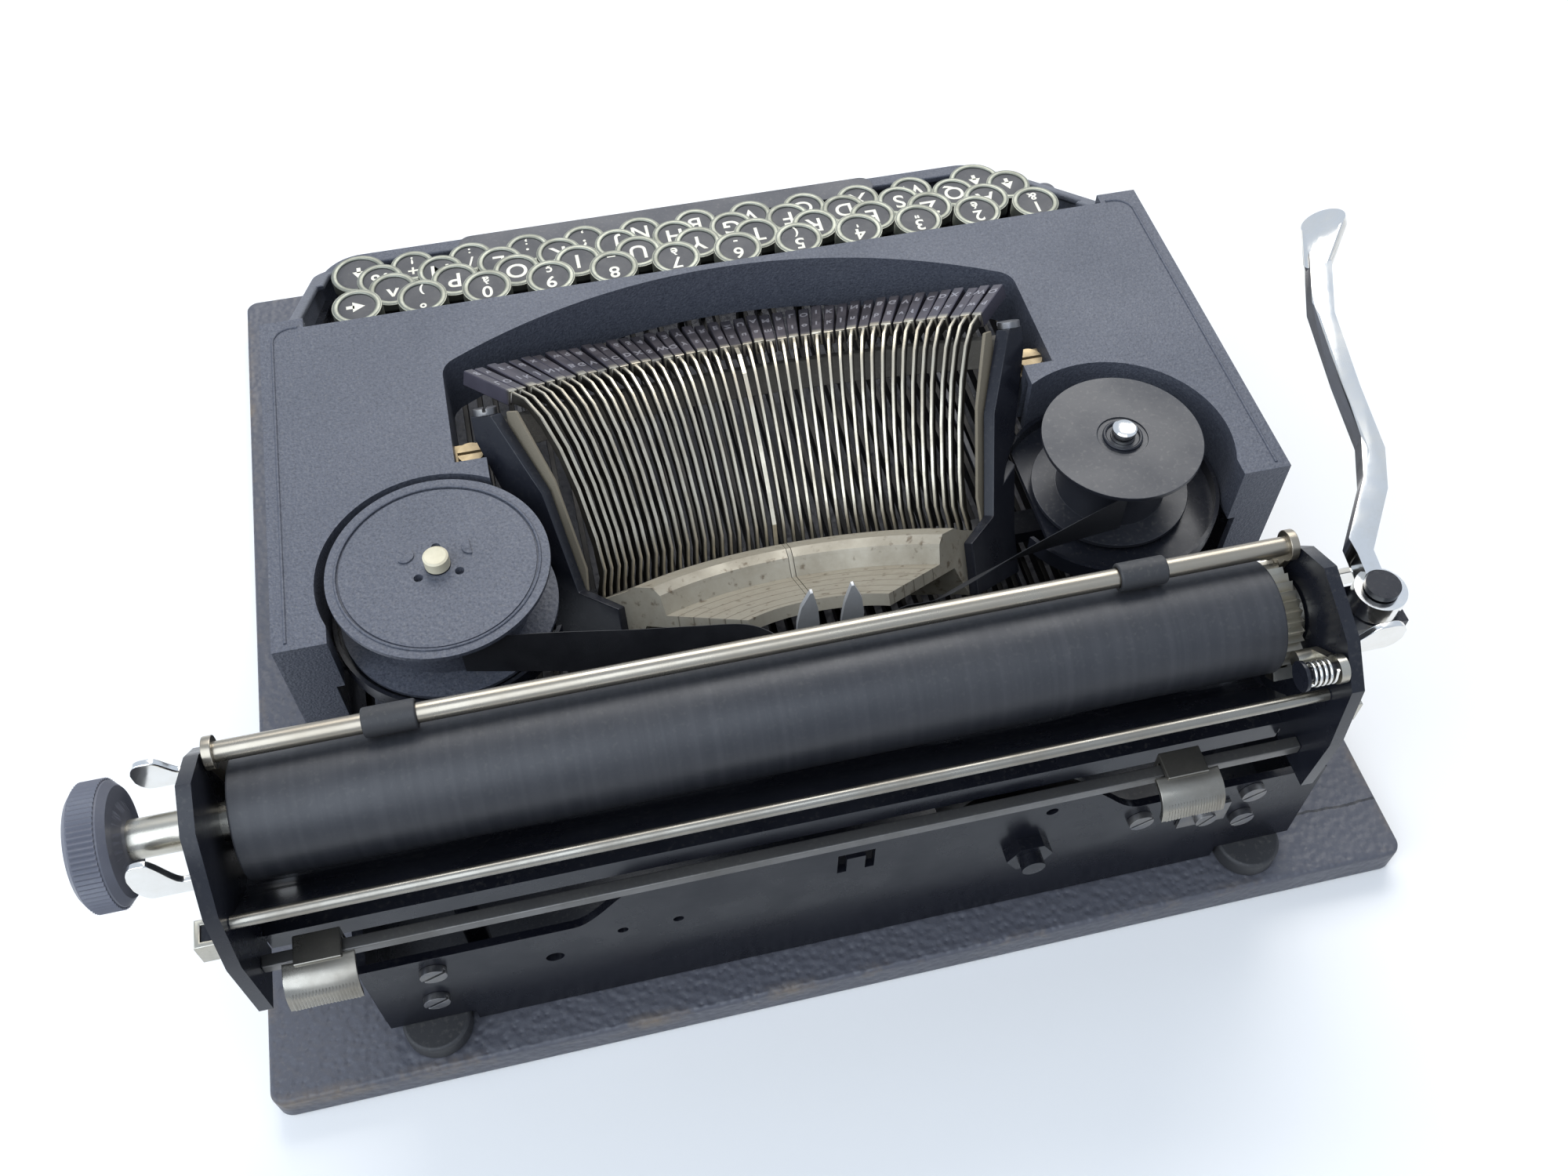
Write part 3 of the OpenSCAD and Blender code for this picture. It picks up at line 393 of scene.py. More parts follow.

# segment: yellowed nickel, pits and scribed arcs, and painted shade on the outer part under the feet of the
# bars
segmentFinish = makeFinish("segmentNickel", {"base": (0.37, 0.335, 0.265), "worn": (0.27, 0.235, 0.175),
                                             "rough": (0.45, 0.65), "metal": 0.45,
                                             "grain": 500.0, "bump": 0.12, "patch": 70.0, "wornShare": 0.8,
                                             "dustShare": 0.25})
tree = segmentFinish.node_tree
local = basketPoint(tree)
radius = lengthOf(tree, axisOf(tree, local, "X"), axisOf(tree, local, "Y"))
lines = calc(tree, "FRACT", calc(tree, "MULTIPLY", radius, 210.0))
scribe = calc(tree, "LESS_THAN", calc(tree, "ABSOLUTE", calc(tree, "SUBTRACT", lines, 0.5)), 0.045)
inner = calc(tree, "MULTIPLY", scribe, spread(tree, radius, 0.0500, 0.0480))
recolor(segmentFinish, calc(tree, "MULTIPLY", inner, 0.7), (0.12, 0.10, 0.07, 1))
pits = addNode(tree, "ShaderNodeTexNoise", {"Vector": objectPoint(tree), "Scale": 420.0,
                                            "Detail": 4.0}).outputs["Fac"]
recolor(segmentFinish, spread(tree, pits, 0.60, 0.72, 0.0, 0.75), (0.10, 0.065, 0.035, 1))
# painted shade: darker beyond 74 mm radius, under the feet of the bars
recolor(segmentFinish, spread(tree, radius, 0.0690, 0.0740, 0.0, 0.8), (0.05, 0.044, 0.034, 1))

# keys: nickel cups on levers, with painted shade darkening the levers below the key rows
keyFinish = makeFinish("keyNickel", {"base": (0.29, 0.295, 0.245), "worn": (0.20, 0.20, 0.16),
                                     "rough": (0.4, 0.55), "metal": 0.9,
                                     "grain": 700.0, "bump": 0.06, "patch": 120.0, "wornShare": 0.7,
                                     "dustShare": 0.1})
tree = keyFinish.node_tree
spot = objectPoint(tree)
overRow = calc(tree, "SUBTRACT", axisOf(tree, spot, "Z"),
               calc(tree, "MULTIPLY", axisOf(tree, spot, "Y"), 0.6137))
# painted shade: everything below the slanted plane of the key rows is darkened
recolor(keyFinish, spread(tree, overRow, 0.1062, 0.1052), (0.022, 0.021, 0.020, 1))

# platen: faint rings worn by the paper along its length
platenFinish = makeFinish("platenRubber", {"base": (0.020, 0.021, 0.025), "worn": (0.034, 0.034, 0.037),
                                           "rough": (0.40, 0.58),
                                           "grain": 1600.0, "bump": 0.12, "patch": 22.0, "dustShare": 0.05})
tree = platenFinish.node_tree
rings = addNode(tree, "ShaderNodeTexNoise", {"W": calc(tree, "MULTIPLY",
                                                       axisOf(tree, objectPoint(tree), "X"), 420.0),
                                             "Scale": 1.0, "Detail": 5.0},
                noise_dimensions="1D").outputs["Fac"]
recolor(platenFinish, spread(tree, rings, 0.42, 0.72, 0.0, 0.3), (0.050, 0.049, 0.054, 1))

# board: rubbed edges and tan scuffs through the covering
boardFinish = makeFinish("boardLeatherette", dict(looks["leatherette"], grain=520.0, depth=0.0009, bump=0.7))
tree = boardFinish.node_tree
spot = objectPoint(tree)
nearX = spread(tree, calc(tree, "ABSOLUTE", axisOf(tree, spot, "X")), 0.1478, 0.1508)
nearY = spread(tree, calc(tree, "ABSOLUTE", axisOf(tree, spot, "Y")), 0.1415, 0.1443)
rim = calc(tree, "MULTIPLY", calc(tree, "MAXIMUM", nearX, nearY),
           spread(tree, axisOf(tree, spot, "Z"), 0.004, 0.0085))
patch = addNode(tree, "ShaderNodeTexNoise", {"Vector": spot, "Scale": 38.0, "Detail": 8.0,
                                             "Roughness": 0.75}).outputs["Fac"]
recolor(boardFinish, calc(tree, "MULTIPLY", rim, spread(tree, patch, 0.50, 0.70, 0.0, 0.8)),
        (0.22, 0.165, 0.105, 1))
wander = calc(tree, "MULTIPLY", calc(tree, "SUBTRACT", patch, 0.5), 0.004)
offSeam = calc(tree, "ADD", calc(tree, "SUBTRACT", axisOf(tree, spot, "Y"), 0.1275), wander)
seam = calc(tree, "LESS_THAN", calc(tree, "ABSOLUTE", offSeam), 0.0004)
seam = calc(tree, "MULTIPLY", seam, calc(tree, "LESS_THAN", axisOf(tree, spot, "X"), -0.118))
recolor(boardFinish, calc(tree, "MULTIPLY", seam, 0.8), (0.004, 0.004, 0.005, 1))

# type rest: brown felt, with painted light: lighter tan strips beside the end bars stand in for lit flat
# sides
restFinish = makeFinish("restFelt", looks["feltPad"])
tree = restFinish.node_tree
local = basketPoint(tree)
lean = calc(tree, "DIVIDE", calc(tree, "ABSOLUTE", axisOf(tree, local, "X")),
            calc(tree, "ABSOLUTE", axisOf(tree, local, "Y")))
# painted light: mask of the lighter tan strips that stand for lit sides beside the end bars
litSideStrip = calc(tree, "MULTIPLY", spread(tree, lean, 0.945, 0.955),
             spread(tree, lengthOf(tree, axisOf(tree, local, "X"), axisOf(tree, local, "Y")), 0.0920, 0.0915))
recolor(restFinish, litSideStrip, (0.20, 0.172, 0.125, 1))

screwFinish = makeFinish("darkScrew", {"base": (0.13, 0.13, 0.14), "worn": (0.34, 0.32, 0.28),
                                       "rough": (0.3, 0.48), "metal": 0.9,
                                       "grain": 700.0, "bump": 0.1, "patch": 160.0, "wornShare": 0.5})
spoolFinish = makeFinish("spoolBlack", {"base": (0.016, 0.017, 0.022), "worn": (0.028, 0.029, 0.036),
                                        "rough": (0.34, 0.5), "grain": 300.0,
                                        "bump": 0.06, "patch": 40.0, "dustShare": 0.12})
bailFinish = makeFinish("bailNickel", {"base": (0.37, 0.335, 0.275), "worn": (0.27, 0.225, 0.165),
                                       "rough": (0.24, 0.36), "metal": 0.95,
                                       "grain": 300.0, "bump": 0.03, "patch": 45.0, "wornShare": 0.45,
                                       "dustShare": 0.05})
knobFinish = makeFinish("knobPlastic", {"base": (0.115, 0.119, 0.146), "worn": (0.135, 0.139, 0.166),
                                        "rough": (0.4, 0.58), "grain": 700.0,
                                        "bump": 0.08, "patch": 60.0, "dustShare": 0.1})
fingerFinish = makeFinish("fingerNickel", {"base": (0.50, 0.50, 0.50), "worn": (0.36, 0.35, 0.33),
                                           "rough": (0.35, 0.5),
                                           "metal": 0.3, "grain": 600.0, "bump": 0.08, "patch": 120.0,
                                           "wornShare": 0.6})
capFinish = makeFinish("spindleCream", {"base": (0.70, 0.64, 0.47), "worn": (0.52, 0.45, 0.31),
                                        "rough": (0.4, 0.55),
                                        "grain": 500.0, "bump": 0.06, "patch": 160.0, "wornShare": 0.5})
# painted shade: a darker copy of the black enamel for the rear plate
rearShadedEnamel = makeFinish("rearEnamelShaded", dict(looks["blackEnamel"], base=(0.0055, 0.006, 0.0095),
                                           worn=(0.012, 0.0125, 0.017), specular=0.2, dustShare=0.03))
railFinish = makeFinish("railNickel", {"base": (0.17, 0.165, 0.16), "worn": (0.10, 0.095, 0.085),
                                       "rough": (0.35, 0.5),
                                       "metal": 0.85, "grain": 400.0, "bump": 0.06, "patch": 60.0,
                                       "wornShare": 0.7})
stopFinish = makeFinish("stopNickel", {"base": (0.29, 0.275, 0.24), "worn": (0.17, 0.15, 0.12),
                                       "rough": (0.25, 0.42),
                                       "metal": 0.95, "grain": 400.0, "bump": 0.06, "patch": 60.0,
                                       "wornShare": 0.7})
reelFinish = makeFinish("reelCrinkle", dict(looks["crinklePaint"], grain=900.0, bump=0.6, depth=0.0004))
for material, scale, share in ((finishes["crinklePaint"], 1300.0, 0.5), (reelFinish, 1700.0, 0.6)):
    tree = material.node_tree
    speck = addNode(tree, "ShaderNodeTexNoise",
                    {"Vector": objectPoint(tree), "Scale": scale, "Detail": 2.0,
                     "Roughness": 0.7}).outputs["Fac"]
    recolor(material, spread(tree, speck, 0.52, 0.68, 0.0, share), (0.135, 0.142, 0.165, 1))
    recolor(material, spread(tree, speck, 0.46, 0.34, 0.0, share), (0.030, 0.033, 0.045, 1))
placed = {"type_bar_h": typeFinish, "type_segment": segmentFinish}
for nodeName, material in placed.items():
    cadNodes[nodeName].data.materials.clear()
    cadNodes[nodeName].data.materials.append(material)
print("placed finishes made")


# softened copies: sheet metal and castings get rolled edges in place of the sharp solid
def rounded(nodeName, settings):
    source = cadNodes[nodeName]
    piece = bpy.data.objects.new(nodeName + "_soft", source.data.copy())
    bpy.context.scene.collection.objects.link(piece)
    pickOnly(piece)
    bpy.ops.object.mode_set(mode="EDIT")
    bpy.ops.mesh.select_all(action="SELECT")
    bpy.ops.mesh.remove_doubles(threshold=0.00001)
    bpy.ops.mesh.dissolve_limited(angle_limit=math.radians(1.0))
    bpy.ops.mesh.normals_make_consistent(inside=False)
    bpy.ops.object.mode_set(mode="OBJECT")
    if piece.data.has_custom_normals:
        bpy.ops.mesh.customdata_custom_splitnormals_clear()
    addModifier(piece, "BEVEL", width=settings["edge"] * mm, segments=settings.get("steps", 2),
                limit_method="ANGLE",
                angle_limit=math.radians(settings.get("corner", 40)), use_clamp_overlap=True,
                miter_outer="MITER_ARC")
    softShade(piece, settings.get("smooth", 35))
    addModifier(piece, "WEIGHTED_NORMAL", mode="FACE_AREA", weight=80, keep_sharp=True)
    part = next(item for item in frame["record"]["subparts"] if item["node"] == nodeName)
    material = settings.get("material") or finishes[slotFinish[part["material_slot"]]]
    dress(piece, material, bodyOf[nodeName])
    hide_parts(nodeName)
    return piece


bodyOf = {nodeName: bodyName for bodyName, held in frame["record"]["behaviour"]["bodies"].items()
          for nodeName in held}

softened = {
    "top_cover": {"edge": 1.6, "steps": 3},
    "keyboard_surround": {"edge": 0.9, "steps": 3},
    # rear plate in painted shade: darker copy of the enamel
    "rear_plate": {"edge": 0.5, "material": rearShadedEnamel},
    "carriage_ends": {"edge": 0.5},
    "line_space_pawl": {"edge": 0.3},
    "detent_roller": {"edge": 0.3},
    "margin_stop_right": {"edge": 0.6, "steps": 3, "material": stopFinish},
    "margin_stop_left": {"edge": 0.6, "steps": 3, "material": stopFinish},
    "segment_arms": {"edge": 0.4},
    "spool_right": {"edge": 0.5, "material": reelFinish},
    "spool_left": {"edge": 0.5, "material": spoolFinish},
    "platen_knob": {"edge": 0.35, "material": knobFinish},
    "platen_rubber": {"edge": 0.6, "material": platenFinish},
    "bail_rollers": {"edge": 0.6, "steps": 3},
    "ribbon_vibrator": {"edge": 0.2, "material": fingerFinish},
    "cover_brackets": {"edge": 0.3},
    "frame_screws": {"edge": 0.25, "material": screwFinish},
    "paper_bail": {"edge": 0.2, "corner": 70, "smooth": 65, "material": bailFinish},
    "space_bar": {"edge": 0.8, "steps": 3},
    "margin_rail": {"edge": 0.4, "material": railFinish},
    "base_board": {"edge": 1.2, "steps": 3, "material": boardFinish},
    "rubber_feet": {"edge": 1.0, "steps": 3},
    "return_lever": {"edge": 1.1, "steps": 3},
    "type_bars": {"edge": 0.25, "steps": 1, "material": typeFinish},
    "type_rest": {"edge": 0.3, "steps": 2, "material": restFinish},
    "carriage_release_right": {"edge": 0.4, "steps": 3},
    "carriage_release_left": {"edge": 0.4, "steps": 3},
    "paper_release_lever": {"edge": 0.4, "steps": 3},
    "line_space_selector": {"edge": 0.4, "steps": 3},
}
for nodeName in ("number_keys", "upper_row_keys", "lower_row_keys", "shift_lock", "backspace_key",
                 "shift_keys", "key_q", "key_s",
                 "key_d", "key_f", "key_g", "key_h", "key_j", "key_k", "key_l", "key_m", "key_percent"):
    softened[nodeName] = {"edge": 0.3, "material": keyFinish}
softPieces = {name: rounded(name, settings) for name, settings in softened.items()}
print("edges rolled on", len(softPieces), "pieces")


# key tops: low black dome with plain cream characters in a nickel ring
keyLook = {"ringShift": 0.12, "ringHalf": 0.86, "ringFlat": 0.42, "pitch": 19.0, "discRadius": 6.12,
           "shiftRadius": 7.85, "sink": 0.88, "height": 0.5, "lockX": -111.15, "backX": 102.6,
           "shiftX": 105.8,
           "single": 8.6, "upper": (6.6, 1.9), "lower": (4.6, -2.9),
           "rowY": (-111, -95, -78.3, -61.5), "rowX": (-82.65, -92.15, -96.9, -106.4), "rowZ": 44.0,
           "rise": 10.13}
legendRows = (("W", "X", "C", "V", "B", "N", "? ,", ". ;", "/ :", "+ !"),
              ("Q", "S", "D", "F", "G", "H", "J", "K", "L", "M", "%"),
              ("A", "Z", "E", "R", "T", "Y", "U", "I", "O", "P", "^"),
              ("1 &", "2 é", "3 \"", "4 '", "5 (", "6 -", "7 è", "8 _", "9 ç", "0 à", "° )"))
discBlack = makeFinish("keyDisc", {"base": (0.020, 0.021, 0.026), "worn": (0.034, 0.035, 0.042),
                                   "rough": (0.35, 0.5),
                                   "specular": 0.35, "coat": 0.08, "coatRough": 0.12, "grain": 1200.0,
                                   "bump": 0.05, "patch": 150.0, "dustShare": 0.05})
legendCream = makeFinish("keyLegend", {"base": (0.80, 0.77, 0.64), "worn": (0.62, 0.58, 0.46),
                                       "rough": (0.4, 0.55),
                                       "coat": 0.2, "coatRough": 0.12, "grain": 1200.0, "bump": 0.05,
                                       "patch": 300.0})


def domedDisc(radius):
    pickOnly()
    bpy.ops.mesh.primitive_cylinder_add(vertices=44, radius=radius * mm, depth=keyLook["height"] * mm)
    disc = bpy.context.object
    pickFaces(disc, lambda face: face.normal.z > 0.9)
    for inset, lift in ((0.25, 0.06), (0.8, 0.05), (1.4, 0.04), (1.6, 0.02)):
        bpy.ops.mesh.inset(thickness=inset * mm)
        bpy.ops.transform.translate(value=(0, 0, lift * mm))
    bpy.ops.object.mode_set(mode="OBJECT")
    softShade(disc, 50)
    return settle(disc)


def character(text, size, shift):
    pickOnly()
    bpy.ops.object.text_add(location=(0, 0, 0))
    mark = bpy.context.object
    mark.data.body = text
    mark.data.align_x = "CENTER"
    mark.data.align_y = "CENTER"
    mark.data.size = size * mm
    mark.data.extrude = 0.03 * mm
    mark.data.offset = 0.10 * mm
    mark.data.resolution_u = 5
    pickOnly(mark)
    bpy.ops.object.convert(target="MESH")
    mark.location = Vector(shift) * mm
    return settle(mark)


def arrowMark(turn):
    pickOnly()
    bpy.ops.mesh.primitive_cylinder_add(vertices=3, radius=2.4 * mm, depth=0.06 * mm)
    head = bpy.context.object
    bpy.ops.object.mode_set(mode="EDIT")
    bpy.ops.mesh.select_all(action="SELECT")
    bpy.ops.mesh.inset(thickness=0.01 * mm)
    bpy.ops.object.mode_set(mode="OBJECT")
    bpy.ops.mesh.primitive_cube_add(size=1.0, location=(0, -1.9 * mm, 0))
    stem = bpy.context.object
    stem.scale = (1.3 * mm, 2.4 * mm, 0.06 * mm)
    settle(stem)
    mark = joinAll([head, stem], "arrowMark")
    mark.rotation_euler = (0, 0, math.radians(turn))
    mark.location = (0, 0, 0)
    return settle(mark)


def turnedRing(radius):
    pickOnly()
    bpy.ops.mesh.primitive_torus_add(major_radius=(radius + keyLook["ringShift"]) * mm,
                                     minor_radius=keyLook["ringHalf"] * mm,
                                     major_segments=44, minor_segments=10)
    ring = bpy.context.object
    bpy.ops.object.mode_set(mode="EDIT")
    bpy.ops.mesh.select_all(action="SELECT")
    bpy.ops.transform.resize(value=(1, 1, keyLook["ringFlat"]))
    bpy.ops.object.mode_set(mode="OBJECT")
    pickFaces(ring, lambda face: face.normal.z < -0.5)
    bpy.ops.mesh.extrude_region_move(TRANSFORM_OT_translate={"value": (0, 0, -0.35 * mm)})
    bpy.ops.object.mode_set(mode="OBJECT")
    softShade(ring, 60)
    return settle(ring)


discModel, ringModel = domedDisc(keyLook["discRadius"]), turnedRing(keyLook["discRadius"])
shiftModel, shiftRing = domedDisc(keyLook["shiftRadius"]), turnedRing(keyLook["shiftRadius"])
ringOf = {discModel: ringModel, shiftModel: shiftRing}


def keyTop(x, y, z, text, model):
    seat = (z - keyLook["sink"] + keyLook["height"] / 2) * mm
    disc = copyOf(model, (x * mm, y * mm, seat))
    level = z - keyLook["sink"] + keyLook["height"] + 0.17
    if text in ("up", "left"):
        marks = [copyOf(arrowModels[text], (x * mm, y * mm, level * mm))]
    elif " " in text:
        upper, lower = text.split(" ")
        marks = [character(mark, size, (x, y + rise, level))
                 for mark, (size, rise) in ((upper, keyLook["upper"]), (lower, keyLook["lower"]))]
    else:
        marks = [character(text, keyLook["single"], (x, y, level))]
    return disc, marks, copyOf(ringOf[model], (x * mm, y * mm, (z - 0.1) * mm))


def dressKeys(bodyName, tops):
    discs = joinAll([top[0] for top in tops], "discs_" + bodyName)
    marks = joinAll([mark for top in tops for mark in top[1]], "legend_" + bodyName)
    rings = joinAll([top[2] for top in tops], "rings_" + bodyName)
    dress(rings, keyFinish, bodyName)
    dress(discs, discBlack, bodyName)
    dress(marks, legendCream, bodyName)


arrowModels = {"up": arrowMark(0), "left": arrowMark(90)}
rowZ = [keyLook["rowZ"] + keyLook["rise"] * row for row in range(4)]
for row, bodyName in ((0, "lower_row_keys"), (2, "upper_row_keys"), (3, "number_keys")):
    dressKeys(bodyName, [keyTop(keyLook["rowX"][row] + keyLook["pitch"] * spot, keyLook["rowY"][row],
                                rowZ[row], text, discModel)
                         for spot, text in enumerate(legendRows[row])])
homeBodies = ("key_q", "key_s", "key_d", "key_f", "key_g", "key_h", "key_j", "key_k", "key_l", "key_m",
              "key_percent")
for spot, bodyName in enumerate(homeBodies):
    dressKeys(bodyName, [keyTop(keyLook["rowX"][1] + keyLook["pitch"] * spot, keyLook["rowY"][1], rowZ[1],
                                legendRows[1][spot], discModel)])
dressKeys("shift_lock", [keyTop(keyLook["lockX"], keyLook["rowY"][1], rowZ[1], "up", discModel)])
dressKeys("backspace_key", [keyTop(keyLook["backX"], keyLook["rowY"][3], rowZ[3], "left", discModel)])
dressKeys("shift_keys", [keyTop(side * keyLook["shiftX"], keyLook["rowY"][0], rowZ[0], "up", shiftModel)
                         for side in (-1, 1)])
for spare in (discModel, shiftModel, ringModel, shiftRing, *arrowModels.values()):
    bpy.data.objects.remove(spare)
print("key tops made")


# ribbon: one slack inked tape from spool to spool, through the vibrator
ribbonLook = {"width": 13.0, "stations": 150, "middle": 86.5,
              "path": ((84, 76.4), (65, 79.2), (45, 83.2), (30, 86.2), (18, 89.5), (10.5, 96.5), (5, 99.8),
                       (0, 100.6), (-5, 99.8),
                       (-10.5, 96.5), (-18, 89.6), (-30, 85.6), (-52, 77.2), (-83, 70.4)),
              "tilt": (0, 10, 16, 18, 14, 4, 0, 0, 0, -4, -16, -30, -26, 0),
              "sag": (0, -0.8, -1.2, -0.6, 1.2, 4.0, 5.4, 5.8, 5.4, 4.0, 1.4, -0.4, -0.8, 0)}


def smoothAlong(values, share):
    place = share * (len(values) - 1)
    start = min(int(place), len(values) - 2)
    a, b, c, d = (values[min(max(start + step, 0), len(values) - 1)] for step in (-1, 0, 1, 2))
    t = place - start
    return 0.5 * (2 * b + (c - a) * t + (2 * a - 5 * b + 4 * c - d) * t * t
                  + (3 * b - a - 3 * c + d) * t ** 3)


def ribbonPoint(share, across):
    look = ribbonLook
    x, y = (smoothAlong([spot[axis] for spot in look["path"]], share) for axis in (0, 1))
    ahead = Vector([smoothAlong([spot[axis] for spot in look["path"]], min(share + 0.01, 1)) - value
                    for axis, value in ((0, x), (1, y))] + [0])
    side = Vector((0, 0, 1)).cross(ahead).normalized() if ahead.length else Vector((0, 1, 0))
    lean = math.radians(smoothAlong(look["tilt"], share))
    rise = Vector((0, 0, math.cos(lean))) + side * math.sin(lean)
    return (Vector((x, y, look["middle"] + smoothAlong(look["sag"], share)))
            + rise * (across * look["width"])) * mm


pickOnly()
bpy.ops.mesh.primitive_grid_add(x_subdivisions=ribbonLook["stations"], y_subdivisions=6, size=1.0)
ribbon = bpy.context.object
for corner in ribbon.data.vertices:
    corner.co = ribbonPoint(corner.co.x + 0.5, corner.co.y)
addModifier(ribbon, "SOLIDIFY", thickness=0.12 * mm, offset=0.0)
softShade(ribbon, 50)
settle(ribbon, "ribbon_tape")
dress(ribbon, finishes["inkedTape"], "base")
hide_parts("ribbon")


# detent spring: wound wire on its pin
springLook = {"wire": 0.35, "coil": 2.6, "turns": 4, "pitch": 1.2, "start": -92.4, "bend": 0.7,
              "pin": (139, 111), "steps": 24}
bendTurn = springLook["bend"] / springLook["coil"]


def coilPoint(x, turn):
    return Vector((x, springLook["pin"][0] + springLook["coil"] * math.cos(turn),
                   springLook["pin"][1] + springLook["coil"] * math.sin(turn))) * mm


wire = [coilPoint(springLook["start"], 0)]
for step in range(7):
    share = step / 6 * math.pi / 2
    wire.append(coilPoint(springLook["start"] - 0.7 - springLook["bend"] * math.sin(share),
                          bendTurn * (1 - math.cos(share))))
coilStart = springLook["start"] - 0.7 - springLook["bend"]
for step in range(1, springLook["steps"] * springLook["turns"] + 1):
    wire.append(coilPoint(coilStart - springLook["pitch"] * step / springLook["steps"],
                          bendTurn + 2 * math.pi * step / springLook["steps"]))
legWay = Vector((0, -math.sin(bendTurn), math.cos(bendTurn)))
wire += [wire[-1] + legWay * 1.2 * mm, wire[-1] + legWay * 2.4 * mm]
spring = tubeAlong(wire, springLook["wire"] * mm, "detent_wire")
dress(spring, finishes["brightNickel"], "carriage")
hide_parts("detent_spring")
print("spring wound")


# cut plates: flat curve outlines given thickness and a rolled edge
def cutPlate(outline, thick, edge, name, place):
    pickOnly()
    bpy.ops.curve.primitive_bezier_curve_add()
    plate = bpy.context.object
    plate.data.splines.clear()
    spline = plate.data.splines.new("POLY")
    spline.points.add(len(outline) - 1)
    for spot, point in zip(spline.points, outline):
        spot.co = (point[0] * mm, point[1] * mm, 0, 1)
    spline.use_cyclic_u = True
    plate.data.dimensions = "2D"
    plate.data.fill_mode = "BOTH"
    plate.data.extrude = (thick / 2 - edge) * mm
    plate.data.bevel_depth = edge * mm
    plate.data.offset = -edge * mm
    plate.data.bevel_resolution = 2
    pickOnly(plate)
    bpy.ops.object.convert(target="MESH")
    bpy.ops.object.mode_set(mode="EDIT")
    bpy.ops.mesh.select_all(action="SELECT")
    bpy.ops.mesh.remove_doubles(threshold=0.000002)
    bpy.ops.mesh.normals_make_consistent(inside=False)
    bpy.ops.object.mode_set(mode="OBJECT")
    plate.matrix_world = place
    softShade(plate, 35)
    return settle(plate, name)


def ringPoints(radius, count, start=0.0, end=360.0):
    return [(radius * math.cos(math.radians(start + (end - start) * step / count)),
             radius * math.sin(math.radians(start + (end - start) * step / count)))
            for step in range(count + (end - start < 360))]


# raised marks on the right spool's upper flange: rim ring and two D-shaped stampings
spoolLook = {"centre": (86, 55.5), "top": 95.4, "rim": 24.2, "stamps": ((205, 9.0), (330, 8.6))}
here = Vector((spoolLook["centre"][0] * mm, spoolLook["centre"][1] * mm, spoolLook["top"] * mm))
rimLine = [here + Vector((x * mm, y * mm, 0.05 * mm)) for x, y in ringPoints(spoolLook["rim"], 96)]
rimRing = tubeAlong(rimLine, 0.35 * mm, "spool_right_rim", closed=True)


def stampAt(angle, reach):
    turn = math.radians(angle)
    out = Vector((reach * math.cos(turn) * mm, reach * math.sin(turn) * mm, 0.1 * mm))
    place = Matrix.Translation(here + out) @ Matrix.Rotation(math.radians(angle + 70), 4, "Z")
    return cutPlate(ringPoints(2.2, 20, 0, 180), 0.7, 0.15, "stamp", place)


stamps = [stampAt(angle, reach) for angle, reach in spoolLook["stamps"]]
marks = joinAll([rimRing, *stamps], "spool_right_marks")
dress(marks, finishes["crinklePaint"], "spool_right")
leftHere = Vector((-0.086, 0.0555, 0.0978))
hubRing = tubeAlong([leftHere + Vector((x * mm, y * mm, 0.1 * mm)) for x, y in ringPoints(4.6, 48)],
                    0.5 * mm, "spool_left_ring", closed=True)
dress(hubRing, finishes["blackEnamel"], "spool_left")

# spindle tips over both spools, cream on the right and bright on the left
for name, spot, top, finish in (("spindle_tip_right", (86, 55.5), 98.6, capFinish),
                                ("spindle_tip_left", (-86, 55.5), 100.6, finishes["brightNickel"])):
    pickOnly()
    bpy.ops.mesh.primitive_cylinder_add(vertices=32, radius=3.05 * mm, depth=3.0 * mm,
                                        location=(spot[0] * mm, spot[1] * mm, (top - 1.3) * mm))
    tip = bpy.context.object
    pickFaces(tip, lambda face: face.normal.z > 0.9)
    bpy.ops.mesh.inset(thickness=0.5 * mm)
    bpy.ops.transform.translate(value=(0, 0, 0.35 * mm))
    bpy.ops.mesh.inset(thickness=1.0 * mm)
    bpy.ops.transform.translate(value=(0, 0, -0.3 * mm))
    bpy.ops.object.mode_set(mode="OBJECT")
    softShade(tip, 35)
    dress(settle(tip, name), finish, "base")
print("spool marks and spindle tips made")

# smooth skin on the bail's rod, left open where the rollers sit
rodLook = {"runs": ((-99.6, -71.3), (-60.1, 91.1), (102.3, 131.4)), "axis": (109.5, 117.0), "radius": 2.16}
skins = [tubeAlong([Vector((x, *rodLook["axis"])) * mm for x in run], rodLook["radius"] * mm, "bail_skin",
                   sides=14)
         for run in rodLook["runs"]]
rodSkin = joinAll(skins, "bail_rod_skin")
softShade(rodSkin, 40)
dress(rodSkin, bailFinish, bodyOf["paper_bail"])

# worn nickel on the rod along the paper table's lip
lipLook = {"run": (-101.8, 133.8), "axis": (138.6, 99.6), "radius": 1.36}
lipSkin = tubeAlong([Vector((x, *lipLook["axis"])) * mm for x in lipLook["run"]], lipLook["radius"] * mm,
                    "lip_rod_skin", sides=10)
softShade(lipSkin, 40)
dress(settle(lipSkin, "lip_rod_skin"), stopFinish, bodyOf["paper_table"])
print("rods covered")


